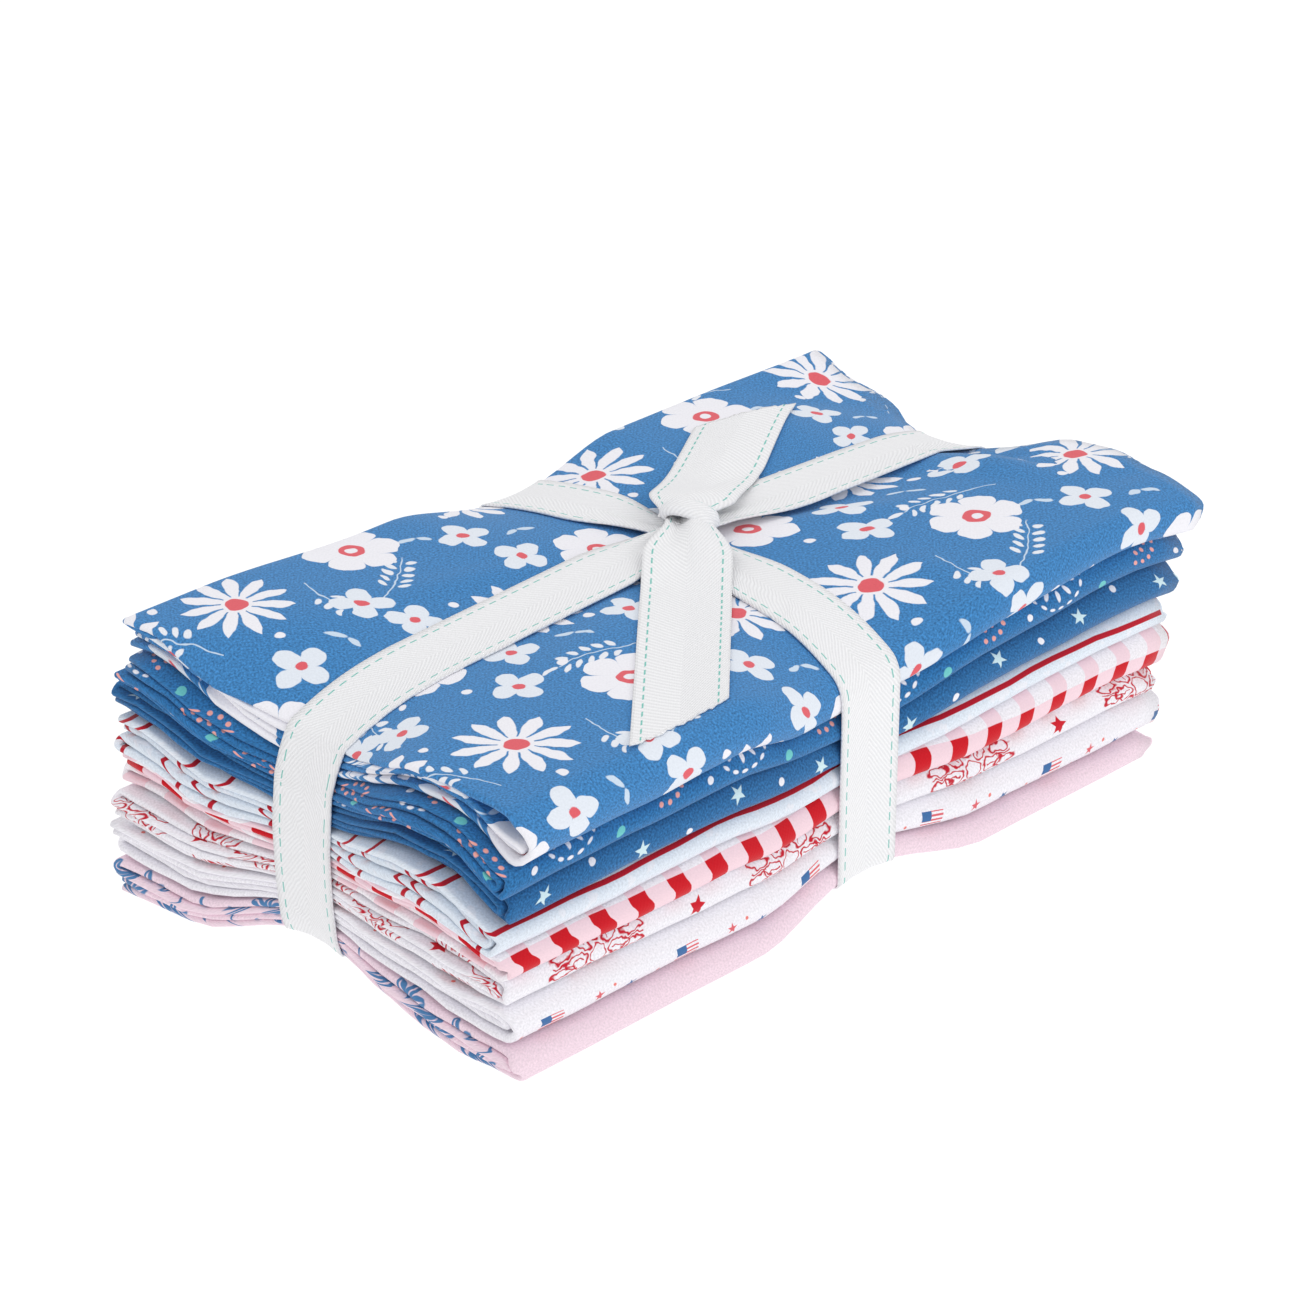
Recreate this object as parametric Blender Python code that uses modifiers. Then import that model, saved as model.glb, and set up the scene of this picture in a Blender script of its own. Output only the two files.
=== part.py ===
"""A bundle of eight folded cuts of quilting cotton, tied lengthwise and crosswise with one twill ribbon.

X runs along the long side, and the -X end shows the ridges of the folded layers. The front, at -Y, shows
one broad fold of each cut. Z points up, and the origin is on the surface, under the middle of the bundle.
Each cut is one strip of cloth, folded back and forth. The ribbon is laid over the finished cloth.
"""

import math

import bmesh
import bpy
import numpy as np
from mathutils import Vector
from mathutils.bvhtree import BVHTree

# Driving sizes of the stack, in millimetres
LENGTH = 229.0            # between the corners of the folded cuts, along X
DEPTH = 131.0             # from the front folds to the cut edges at the back
HEIGHT = 70.5             # of the stack where no ribbon squeezes it
LAYER = 1.1               # a folded layer of plies, as one sheet
GAP = 0.7                 # between the faces of two cuts
SHIFT_X, SHIFT_Y = 0.3, 0.2   # bring the middle of the uneven stack over the origin

# Driving sizes of the ribbon, in millimetres
RUN_WIDTH = 20.0          # of the taut runs round the stack
TAIL_WIDTH = 22.0         # of the two loose ends
RIBBON_THICK = 1.0
SEAT = 0.3                # between the ribbon and what it lies on
KNOT = (17.0, 9.2)        # the middle of the knot, seen from above
KNOT_RING = dict(half_width=7.8, half_height=2.5, length=11.0, thick=1.4, steps=20)
TAIL_TURN = math.radians(223.2)  # the way the front tail points, from +X
# How far the two edges of each tail reach from the knot. The cut ends are slanted.
TAILS = {
    "ribbon_tail_front": dict(turn=TAIL_TURN, edges=(118.0, 92.5)),
    "ribbon_tail_back": dict(turn=TAIL_TURN - math.pi - 0.19, edges=(82.0, 58.5)),
}
TAIL_ROOT_WIDTH = 7.6     # where a tail leaves the knot
TAIL_WIDENS = (8.0, 22.0)     # from the knot, where a tail opens to its full width
TAIL_SINKS = (7.0, 34.0)      # from the knot, where a tail comes down to the cloth
RIBBON_DRAWN_BACK = 4.5   # the lengthwise run at the knot, from its straight line
RIBBON_ENDS_X = dict(front=4.0, back=9.0)    # where the crosswise run reaches the front and the back

# The valleys that the ribbon presses into the stack, one row for each run. The depth in the middle grows
# towards the low end (-X or -Y) and the high end of the run, between start and end. Where the edges of the
# stack are rounded off under the ribbon, it grows ever faster. The half widths are on the low side and the
# high side of the ribbon, and they grow towards the ends too.
VALLEY_COLUMNS = ("run", "rounded", "middle", "at_low_end", "at_high_end", "start", "end",
                  "low_side", "high_side", "low_side_at_low_end", "high_side_at_low_end",
                  "high_side_at_high_end")
VALLEYS = {row[0]: dict(zip(VALLEY_COLUMNS, row)) for row in (
    ("under_lengthwise", False, 5.0, 6.4, 3.4, 50, 114, 34, 34, 16, 22, 0),
    ("under_crosswise", False, 5.0, 1.4, 1.4, 25, 64, 38, 40, 0, 0, 0),
    ("top_lengthwise", True, 2.4, 13.0, 11.0, 74, 118, 32, 32, 10, 24, 10),
    ("top_crosswise", True, 3.0, 10.5, 5.0, 30, 66, 42, 36, 7, 7, 0),
)}
# Lobes of the top, one row each: their height, and from where to where they grow along X and along Y
LOBE_COLUMNS = ("place", "height", "along", "across")
LOBES = [dict(zip(LOBE_COLUMNS, row)) for row in (
    ("back left", 2.8, (-40, -92), (8, 48)),
    ("right front", 3.0, (30, 100), (-8, -45)),
    ("right front corner, which hangs", -6.0, (88, 130), (-40, -72)),
)]

# One row for each cut, from the bottom. The thicknesses are inside the stack, at the -X end and at the
# +X end of the front fold. The reaches are past the corner lines, at the front and at the back of the
# -X end, at the +X end, at the front fold and at the back. The pair of layers that is joined at the back
# is the upper or the lower one.
CUT_COLUMNS = ("name", "inside", "front_left", "front_right", "left_front", "left_back",
               "right", "front", "back", "joined")
CUTS = [dict(zip(CUT_COLUMNS, row)) for row in (
    ("cut_pink", 9.5, 8.5, 5.5, 0.5, 8.0, -6.0, 1.5, 1.0, "upper"),
    ("cut_flags", 10.0, 10.5, 8.5, 0.0, 7.5, 0.0, 0.0, 2.0, "lower"),
    ("cut_red_line", 9.0, 7.3, 8.5, 1.0, 8.5, -2.0, -1.0, 0.0, "upper"),
    ("cut_gingham", 8.5, 7.7, 11.5, 2.5, 4.5, 1.4, 0.3, 1.5, "lower"),
    ("cut_stripe", 10.0, 6.0, 7.0, 5.0, 6.5, 0.7, -0.5, -1.0, "lower"),
    ("cut_stars", 8.0, 8.0, 10.5, 0.5, 5.5, 3.5, 0.0, 1.0, "upper"),
    ("cut_dots", 7.5, 7.0, 10.5, 2.5, 6.0, 4.4, 0.5, -1.5, "lower"),
    ("cut_daisies", 8.0, 16.0, 10.0, -1.0, 1.5, 7.5, 4.0, 0.0, "upper"),
)]

# Display colours of the cuts and of the ribbon
COLOURS = {
    "cut_pink": (0.87, 0.70, 0.77), "cut_flags": (0.90, 0.88, 0.92), "cut_red_line": (0.88, 0.85, 0.90),
    "cut_gingham": (0.80, 0.22, 0.27), "cut_stripe": (0.76, 0.83, 0.90), "cut_stars": (0.07, 0.20, 0.42),
    "cut_dots": (0.05, 0.16, 0.36), "cut_daisies": (0.07, 0.22, 0.46), "ribbon": (0.88, 0.88, 0.87),
}

# Where the cloth bends, so that the layers of all the cuts bend together
X_STATIONS = (-104.0, -84.0, -44.0, -8.0, 16.0, 52.0, 86.0, 104.0)
Y_STATIONS = (44.0, 24.0, 5.0, -16.0, -42.0)
OUTER_TURN_STEPS = 6
INNER_TURN_STEPS = 4

FRONT_FOLD_BLEND = 20.0   # how far behind the front the layers reach their inside heights
RAW_END_SHORT = 2.0       # how far the strip's inner end stays behind the back
STAGGER = 1.2             # of the layers at the two ends
# The underside is this much higher in its middle than at its corners, so that the stack stands on those
UNDER_HOLLOW = 0.06
# The lines that the ribbon draws the two ends and the front folds to, from the corner lines inwards. The
# top and the bottom cuts' ends go in further. The half width is how far from the ribbon this reaches.
DRAWN_ENDS = dict(middle=0.0, top=6.0, bottom=2.5, half_width=38.0)
DRAWN_FRONT = dict(middle=2.8, half_width=42.0, along=(-14, -60))

# How the ribbon is laid
RAY_STEP = 0.5            # between the rays that find the stack's outline
TALLEST = 80.0            # above everything under the ribbon
ROUND_STEPS = 32          # corners of the circle that a taut loop turns on
FINE_STEP = 0.5
BEND_WEIGHT = 1.0         # how much closer the loop's steps are where it bends
LOOP_STEPS = 52
RIBBON_COLUMNS = (-0.5, -1 / 6, 1 / 6, 0.5)   # across the ribbon, as shares of its width
TAIL_STEPS = 14
TAIL_SPAN = 4.0           # a tail bridges hollows narrower than twice this

LEFT, RIGHT = SHIFT_X - LENGTH / 2, SHIFT_X + LENGTH / 2
FRONT, BACK = SHIFT_Y - DEPTH / 2, SHIFT_Y + DEPTH / 2


def hump(distance, below, above):
    """1 at distance 0, and 0 from the two half widths outwards."""
    t = distance / (below if distance < 0 else above)
    return (1 - t * t) ** 2 if abs(t) < 1 else 0.0


def rise(value, start, end):
    """0 before start and 1 after end, smooth between them."""
    t = min(1.0, max(0.0, (value - start) / (end - start)))
    return t * t * (3 - 2 * t)


def steepen(value, start, end):
    """0 before start and 1 at the end, ever steeper between them."""
    return min(1.0, max(0.0, (value - start) / (end - start))) ** 2


def mix(a, b, share):
    return a + (b - a) * share


def merged(a, b):
    """The larger of two heights, with a soft change from one to the other."""
    return (a ** 3 + b ** 3) ** (1 / 3)


def lengthwise_y(x):
    """The middle line of the lengthwise ribbon, which is drawn back a little at the knot."""
    return KNOT[1] - RIBBON_DRAWN_BACK * min(1.0, abs(x - KNOT[0]) / 100)


def crosswise_x(y):
    """The middle line of the crosswise ribbon, from the knot to the front and to the back."""
    side = "front" if y < KNOT[1] else "back"
    reach = (FRONT if side == "front" else BACK) - KNOT[1]
    return mix(KNOT[0] - 2, RIBBON_ENDS_X[side], min(1.0, (y - KNOT[1]) / reach))


def valley(run, along, aside):
    """Depth of the valley under one run of ribbon, at a place along the run and a distance aside from it."""
    row = VALLEYS[run]
    growing = steepen if row["rounded"] else rise
    low_end, high_end = (growing(side * along, row["start"], row["end"]) for side in (-1, 1))
    depth = row["middle"] + row["at_low_end"] * low_end + row["at_high_end"] * high_end
    low_side = row["low_side"] + row["low_side_at_low_end"] * low_end
    high_side = (row["high_side"] + row["high_side_at_low_end"] * low_end
                 + row["high_side_at_high_end"] * high_end)
    return depth * hump(aside, low_side, high_side)


def underside(x, y):
    """Height of the underside: flat on four lobes, and drawn up where the ribbon squeezes the stack."""
    hollow = max(0.0, 1 - 2 * (x / LENGTH) ** 2 - 2 * (y / DEPTH) ** 2) * UNDER_HOLLOW
    return hollow + merged(valley("under_lengthwise", x, y - lengthwise_y(x)),
                           valley("under_crosswise", y, x - crosswise_x(y)))


def top(x, y):
    """Height of the top of the stack, with its lobes and the valleys under the ribbon."""
    puff = sum(lobe["height"] * rise(x, *lobe["along"]) * rise(y, *lobe["across"]) for lobe in LOBES)
    pressed = merged(valley("top_lengthwise", x, y - lengthwise_y(x)),
                     valley("top_crosswise", y, x - crosswise_x(y)))
    return HEIGHT + puff - pressed


def seam(number, x, y):
    """Height of the seam above that many cuts."""
    at_front = rise(FRONT + FRONT_FOLD_BLEND - y, 0, FRONT_FOLD_BLEND)
    along = min(1.0, max(0.0, (x - LEFT) / LENGTH))
    heights = [mix(c["inside"], mix(c["front_left"], c["front_right"], along), at_front) for c in CUTS]
    low = underside(x, y)
    return low + (top(x, y) - low) * sum(heights[:number]) / sum(heights)


def height_in_cut(number, x, y, share):
    """Height of the middle of a layer, from the lowest layer of the cut at 0 to the highest at 1."""
    low = seam(number, x, y) + (LAYER + (GAP if number else 0)) / 2
    high = seam(number + 1, x, y) - (GAP + LAYER) / 2
    return mix(low, high, share)


def turn(y_end, radius_y, middle, half, steps, outward):
    """A U turn between two layers, as (y, share) pairs from the lower layer to the upper one."""
    points = []
    for step in range(steps + 1):
        angle = math.pi * (step / steps - 0.5)
        points.append((y_end - outward * radius_y * (1 - math.cos(angle)), middle + half * math.sin(angle)))
    return points


def fold_path(cut):
    """The strip's middle line across the stack, back and forth, as (y, share of the cut) pairs.

    The two outer layers are joined by the big front turn and the two inner ones by a small turn inside
    it. One pair is joined at the back, and the strip's two ends lie under or over it.
    """
    thick = (cut["front_left"] + cut["front_right"]) / 2
    pitch = (thick - GAP - LAYER) / 3
    front = FRONT - cut["front"] + LAYER / 2
    back = BACK + cut["back"] - LAYER / 2
    outer = turn(front, 1.5 * pitch, 0.5, 0.5, OUTER_TURN_STEPS, -1)
    inner = turn(front + pitch, 0.5 * pitch, 0.5, 1 / 6, INNER_TURN_STEPS, -1)
    rear = turn(back, 0.5 * pitch, 5 / 6, 1 / 6, INNER_TURN_STEPS, 1)
    forward = list(Y_STATIONS)
    path = [(back, 0.0)] + [(y, 0.0) for y in forward] + outer
    path += [(y, 1.0) for y in reversed(forward)] + rear[::-1]
    path += [(y, 2 / 3) for y in forward] + inner[::-1]
    path += [(y, 1 / 3) for y in reversed(forward)] + [(back - RAW_END_SHORT, 1 / 3)]
    if cut["joined"] == "lower":
        path = [(y, 1.0 - share) for y, share in path]
    return path


def end_reach(number, y, share):
    """The x of a cut's two ends: the layers are staggered, and the ribbon draws them to its own line."""
    cut = CUTS[number]
    along = min(1.0, max(0.0, (y - FRONT) / DEPTH))
    stagger = STAGGER * math.sin(5.0 * share + 2.1 * cut["left_back"])
    left = mix(cut["left_front"], cut["left_back"], along) + stagger
    right = cut["right"] + stagger
    level = (number + share) / len(CUTS)
    line = DRAWN_ENDS["middle"] + DRAWN_ENDS["top"] * level ** 6 + DRAWN_ENDS["bottom"] * (1 - level) ** 6
    drawn = hump(y - lengthwise_y(LEFT), DRAWN_ENDS["half_width"], DRAWN_ENDS["half_width"])
    return LEFT - mix(left, -line, drawn), RIGHT + mix(right, -line, drawn)


def drawn_back(cut, x, y):
    """The y of a place in a cut, where the crosswise ribbon draws the front fold in to its own line."""
    drawn = hump(x - crosswise_x(FRONT), DRAWN_FRONT["half_width"], DRAWN_FRONT["half_width"])
    return y + (cut["front"] + DRAWN_FRONT["middle"]) * drawn * rise(y, *DRAWN_FRONT["along"])


def grid_object(name, rows, thickness, colour, closed=False):
    """One sheet: a grid whose points are moved to the given rows, with a wall of even thickness.

    Its quads are all split the same way, seen from above, so that layers over each other stay parallel.
    """
    bm = bmesh.new()
    columns = len(rows[0])
    bmesh.ops.create_grid(bm, x_segments=columns - 1, y_segments=len(rows) - 1, size=0.5)
    bm.verts.ensure_lookup_table()
    for index, vert in enumerate(bm.verts):
        vert.co = Vector(rows[index // columns][index % columns]) / 1000
    for face in list(bm.faces):
        a, b, c, d = face.verts
        across = c.co - a.co
        first, second = (a, c) if across.x * across.y > 0 else (b, d)
        bmesh.utils.face_split(face, first, second)
    if closed:
        bmesh.ops.remove_doubles(bm, verts=bm.verts, dist=1e-6)
    mesh = bpy.data.meshes.new(name)
    bm.to_mesh(mesh)
    bm.free()
    mesh.shade_smooth()
    obj = bpy.data.objects.new(name, mesh)
    bundle.objects.link(obj)
    wall = obj.modifiers.new("Wall", "SOLIDIFY")
    wall.thickness = thickness / 1000
    wall.offset = 0
    wall.use_even_offset = True
    wall.use_quality_normals = True
    material = bpy.data.materials.new(name)
    material.use_nodes = True
    shader = material.node_tree.nodes["Principled BSDF"]
    shader.inputs["Base Color"].default_value = (*colour, 1)
    shader.inputs["Roughness"].default_value = 0.85
    shader.inputs["Metallic"].default_value = 0.0
    mesh.materials.append(material)
    return obj


def add_cut(number, cut):
    """One folded cut of cloth."""
    rows = []
    for y, share in fold_path(cut):
        left, right = end_reach(number, y, share)
        row = []
        for x in (left, *X_STATIONS, right):
            place = drawn_back(cut, x, y)
            row.append((x, place, height_in_cut(number, x, place, share)))
        rows.append(row)
    return grid_object(cut["name"], rows, LAYER, COLOURS[cut["name"]])


def surface_tree(objects):
    """What a ray can hit: the evaluated faces of the given objects, in millimetres."""
    points, faces = [], []
    graph = bpy.context.evaluated_depsgraph_get()
    for obj in objects:
        evaluated = obj.evaluated_get(graph)
        mesh = evaluated.to_mesh()
        start = len(points)
        points += [v.co * 1000 for v in mesh.vertices]
        faces += [[start + i for i in p.vertices] for p in mesh.polygons]
        evaluated.to_mesh_clear()
    return BVHTree.FromPolygons(points, faces)


def hull_2d(points):
    """The points of a flat set that a taut loop would touch, in order."""
    points = sorted(set(points))
    chains = []
    for ordered in (points, points[::-1]):
        chain = []
        for p in ordered:
            while len(chain) > 1:
                (ax, ay), (bx, by) = chain[-2], chain[-1]
                if (bx - ax) * (p[1] - ay) - (by - ay) * (p[0] - ax) > 0:
                    break
                chain.pop()
            chain.append(p)
        chains.append(chain[:-1])
    return chains[0] + chains[1]


def taut_loop(points, lift, start, count):
    """A taut loop round a flat set of points, that far outside it, with its steps closest where it bends.

    It runs clockwise from the place above start, so that neighbouring loops match step by step.
    """
    around = []
    for a, b in hull_2d([(round(p[0], 3), round(p[1], 3)) for p in points]):
        for step in range(ROUND_STEPS):
            angle = 2 * math.pi * step / ROUND_STEPS
            around.append((a + lift * math.cos(angle), b + lift * math.sin(angle)))
    line = np.array(hull_2d(around)[::-1])
    line = np.vstack([line, line[:1]])
    length = np.concatenate([[0], np.cumsum(np.linalg.norm(np.diff(line, axis=0), axis=1))])
    fine = np.arange(0, length[-1], FINE_STEP)
    fine = np.column_stack([np.interp(fine, length, line[:, i]) for i in (0, 1)])
    highest = [i for i in range(len(fine)) if fine[i, 0] >= start and fine[i, 1] > fine[:, 1].max() / 2]
    first = min(highest, key=lambda i: fine[i, 0])
    fine = np.roll(fine, -first, axis=0)
    steps = np.diff(np.vstack([fine, fine[:1]]), axis=0)
    heading = np.arctan2(steps[:, 1], steps[:, 0])
    bend = np.abs((np.diff(np.append(heading, heading[0])) + math.pi) % (2 * math.pi) - math.pi)
    spread = np.convolve(np.concatenate([bend[-3:], bend, bend[:3]]), np.ones(7) / 7, "valid")
    measure = np.cumsum(FINE_STEP / length[-1] + BEND_WEIGHT * spread / (2 * math.pi))
    places = [int(np.searchsorted(measure, measure[-1] * step / count)) for step in range(count)]
    short = 0.0
    for a, b in zip(places, places[1:] + [len(fine)]):
        chord = fine[b % len(fine)] - fine[a]
        away = fine[a:b] - fine[a]
        short = max(short, np.abs(chord[0] * away[:, 1] - chord[1] * away[:, 0]).max() / np.linalg.norm(chord))
    return [(float(fine[i, 0]), float(fine[i, 1])) for i in places], float(short)


def laid_loop(points, lift, start, count):
    """A taut loop that clears the points by the lift, although its straight steps cut its bends short."""
    short = taut_loop(points, lift, start, count)[1]
    return taut_loop(points, lift + short, start, count)[0]


def section_points(tree, along, place, reach):
    """The outline of the stack in an upright section, found with rays from above, below and both ends.

    The section runs along axis 0 or 1, and place gives its other coordinate.
    """
    found = []

    def cast(origin, direction):
        hit = tree.ray_cast(Vector(origin), Vector(direction))[0]
        if hit:
            found.append((hit[along], hit[2]))

    for step in range(int(2 * reach / RAY_STEP) + 1):
        here = -reach + step * RAY_STEP
        other = place(here)
        flat = (here, other) if along == 0 else (other, here)
        cast((*flat, 200), (0, 0, -1))
        cast((*flat, -200), (0, 0, 1))
    for side in (-1, 1):
        other = place(side * reach)
        flat = (side * 300, other) if along == 0 else (other, side * 300)
        direction = (-side, 0, 0) if along == 0 else (0, -side, 0)
        for step in range(1, int(TALLEST / RAY_STEP)):
            cast((*flat, step * RAY_STEP), direction)
    return found


def add_band(name, along, line, reach, rests_on):
    """One turn of ribbon right round the stack, along axis 0 or 1, with line as its middle seen from above."""
    tree = surface_tree(rests_on)
    loops = []
    for share in RIBBON_COLUMNS:
        place = lambda here, share=share: line(here) + share * RUN_WIDTH
        outline = section_points(tree, along, place, reach)
        loop = laid_loop(outline, SEAT + RIBBON_THICK / 2, KNOT[along], LOOP_STEPS)
        if along == 0:
            loops.append([(a, place(a), z) for a, z in loop])
        else:
            loops.append([(place(a), a, z) for a, z in loop])
    rows = [[loop[step] for loop in loops] for step in range(LOOP_STEPS)]
    rows.append(rows[0])
    return grid_object(name, rows, RIBBON_THICK, COLOURS["ribbon"], closed=True)


def highest(tree, x, y, span):
    """Height of the highest thing within a small distance of a place, seen from above."""
    heights = []
    for dx in (-span, 0, span):
        for dy in (-span, 0, span):
            hit = tree.ray_cast(Vector((x + dx, y + dy, 200)), Vector((0, 0, -1)))[0]
            if hit:
                heights.append(hit.z)
    return max(heights)


def add_knot(base):
    """The wrap of ribbon that holds both tails: a short ring round the line of the tails."""
    ring = KNOT_RING
    along = Vector((math.cos(TAIL_TURN), math.sin(TAIL_TURN), 0))
    across = Vector((-along.y, along.x, 0))
    middle = Vector((*KNOT, base + SEAT + ring["thick"] / 2 + ring["half_height"]))
    rows = []
    for step in range(ring["steps"] + 1):
        angle = 2 * math.pi * (step % ring["steps"]) / ring["steps"]
        row = []
        for share in (-0.5, -0.2, 0.2, 0.5):
            swell = 1.0 - 0.5 * abs(share) ** 2
            row.append(middle + along * share * ring["length"]
                       + across * ring["half_width"] * swell * math.cos(angle)
                       + Vector((0, 0, ring["half_height"] * (1 - 0.1 * abs(share)) * math.sin(angle))))
        rows.append(row)
    return grid_object("ribbon_knot", rows, ring["thick"], COLOURS["ribbon"], closed=True)


def add_tail(name, spec, base, tree):
    """One free end of the ribbon: out of the knot, down to the cloth, and flat on it to the slanted end."""
    along = Vector((math.cos(spec["turn"]), math.sin(spec["turn"]), 0))
    across = Vector((-along.y, along.x, 0))
    root = base + SEAT + KNOT_RING["thick"] / 2 + KNOT_RING["half_height"]
    rows = []
    for step in range(TAIL_STEPS + 1):
        share = step / TAIL_STEPS
        row = []
        for column in RIBBON_COLUMNS:
            far = mix(spec["edges"][0], spec["edges"][1], column + 0.5)
            out = 1.0 + share * (far - 1.0)
            width = mix(TAIL_ROOT_WIDTH, TAIL_WIDTH, rise(out, *TAIL_WIDENS))
            spot = Vector((*KNOT, 0)) + along * out + across * column * width
            lying = highest(tree, spot.x, spot.y, TAIL_SPAN) + SEAT + RIBBON_THICK / 2
            row.append((spot.x, spot.y, max(lying, mix(root, lying, rise(out, *TAIL_SINKS)))))
        rows.append(row)
    return grid_object(name, rows, RIBBON_THICK, COLOURS["ribbon"])


for old in list(bpy.data.objects):
    bpy.data.objects.remove(old)
bundle = bpy.data.collections.new("fabric_bundle")
bpy.context.scene.collection.children.link(bundle)

cloth = [add_cut(number, cut) for number, cut in enumerate(CUTS)]
bpy.context.view_layer.update()
crosswise = add_band("ribbon_crosswise", 1, crosswise_x, 76.0, cloth)
bpy.context.view_layer.update()
lengthwise = add_band("ribbon_lengthwise", 0, lengthwise_y, 128.0, cloth + [crosswise])
bpy.context.view_layer.update()
under_knot = surface_tree(cloth + [crosswise, lengthwise])
knot_height = highest(under_knot, *KNOT, KNOT_RING["half_width"] * 0.7)
add_knot(knot_height)
for tail_name, tail_spec in TAILS.items():
    add_tail(tail_name, tail_spec, knot_height, under_knot)
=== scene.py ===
# %% [markdown]
# # A bundle of folded quilting cotton
#
# Eight one-yard cuts of cotton are folded, stacked and tied with a twill ribbon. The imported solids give
# the true places and sizes, and this lesson dresses them: each cut becomes one long sheet, folded the
# way a shop folds it, and the ribbon is laid over the finished cloth.
#
# Lengths are in millimetres in the helpers and in metres in the meshes, as Blender has them.

# %% Load the frame
import math

import bmesh
import bpy
import numpy as np
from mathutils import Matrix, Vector
from mathutils.bvhtree import BVHTree


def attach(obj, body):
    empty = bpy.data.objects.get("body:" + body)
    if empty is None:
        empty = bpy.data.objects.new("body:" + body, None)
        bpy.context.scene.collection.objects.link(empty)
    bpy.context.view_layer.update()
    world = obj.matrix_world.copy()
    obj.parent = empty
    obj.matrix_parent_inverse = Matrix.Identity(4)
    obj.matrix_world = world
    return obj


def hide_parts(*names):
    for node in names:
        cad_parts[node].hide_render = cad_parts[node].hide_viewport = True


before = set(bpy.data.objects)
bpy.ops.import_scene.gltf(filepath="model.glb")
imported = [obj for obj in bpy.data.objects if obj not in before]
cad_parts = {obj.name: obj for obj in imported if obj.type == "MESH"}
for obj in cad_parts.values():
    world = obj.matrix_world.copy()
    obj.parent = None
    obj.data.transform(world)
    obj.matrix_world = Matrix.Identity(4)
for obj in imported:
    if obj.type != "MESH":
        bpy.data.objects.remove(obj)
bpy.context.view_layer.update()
MM = 0.001
print("solids in the frame:", len(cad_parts))

# %% [markdown]
# ## Camera, floor and light
#
# The photo is a catalogue picture: the bundle is seen from a low corner with a long lens, on white, in
# light so soft that it hardly throws a shadow. The lens and the place of the camera were worked out from
# the stack's straight edges. A white world gives the soft light, one large lamp makes the front a little
# brighter than the folded end, and the floor is white paper.

# %% Camera and lamps
LENS, SENSOR = 123.9, 36.0
CAMERA_PLACE = (-0.6984, -0.6881, 0.5411)
CAMERA_DOWN, CAMERA_TURN = 26.82, -45.18        # degrees below level, and round from the +Y direction
WORLD_LIGHT = 0.72

camera = bpy.data.objects.new("camera", bpy.data.cameras.new("camera"))
camera.data.lens = LENS
camera.data.sensor_width = SENSOR
camera.location = CAMERA_PLACE
camera.rotation_euler = (math.radians(90 - CAMERA_DOWN), 0, math.radians(CAMERA_TURN))
bpy.context.scene.collection.objects.link(camera)
bpy.context.scene.camera = camera
bpy.context.scene.view_settings.view_transform = "Standard"


def add_lamp(name, place, aim, size, power):
    """A square lamp that points at a place."""
    lamp = bpy.data.objects.new(name, bpy.data.lights.new(name, "AREA"))
    lamp.data.size = size
    lamp.data.energy = power
    lamp.location = place
    lamp.rotation_euler = (Vector(aim) - Vector(place)).to_track_quat("-Z", "Y").to_euler()
    bpy.context.scene.collection.objects.link(lamp)


add_lamp("front_lamp", (0.25, -1.5, 1.1), (0, 0, 0.03), 1.1, 6)
add_lamp("top_lamp", (-0.2, 0.3, 1.6), (0, 0, 0.05), 1.2, 4.5)
world = bpy.data.worlds.new("white_room")
world.use_nodes = True
background = world.node_tree.nodes["Background"]
background.inputs["Color"].default_value = (1, 1, 1, 1)
background.inputs["Strength"].default_value = WORLD_LIGHT
bpy.context.scene.world = world
print("camera, two lamps and a white world")

# %% [markdown]
# ## Materials as sums
#
# A print on cloth is arithmetic on the cloth's own flat coordinates. A small class wraps a socket, so that
# adding or comparing two values adds the Math node that does it. One method adds any other node.

# %% A socket that can be added up
class Field:
    """A value that changes over a surface: one output socket of a material's nodes."""

    def __init__(self, paint, socket):
        self.paint, self.socket = paint, socket

    def __add__(self, other):
        return self.paint.math("ADD", self, other)

    def __sub__(self, other):
        return self.paint.math("SUBTRACT", self, other)

    def __rsub__(self, other):
        return self.paint.math("SUBTRACT", other, self)

    def __mul__(self, other):
        return self.paint.math("MULTIPLY", self, other)

    def __truediv__(self, other):
        return self.paint.math("DIVIDE", self, other)

    def __abs__(self):
        return self.paint.math("ABSOLUTE", self)

    def __lt__(self, other):
        return self.paint.math("LESS_THAN", self, other)

    def __gt__(self, other):
        return self.paint.math("GREATER_THAN", self, other)


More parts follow.
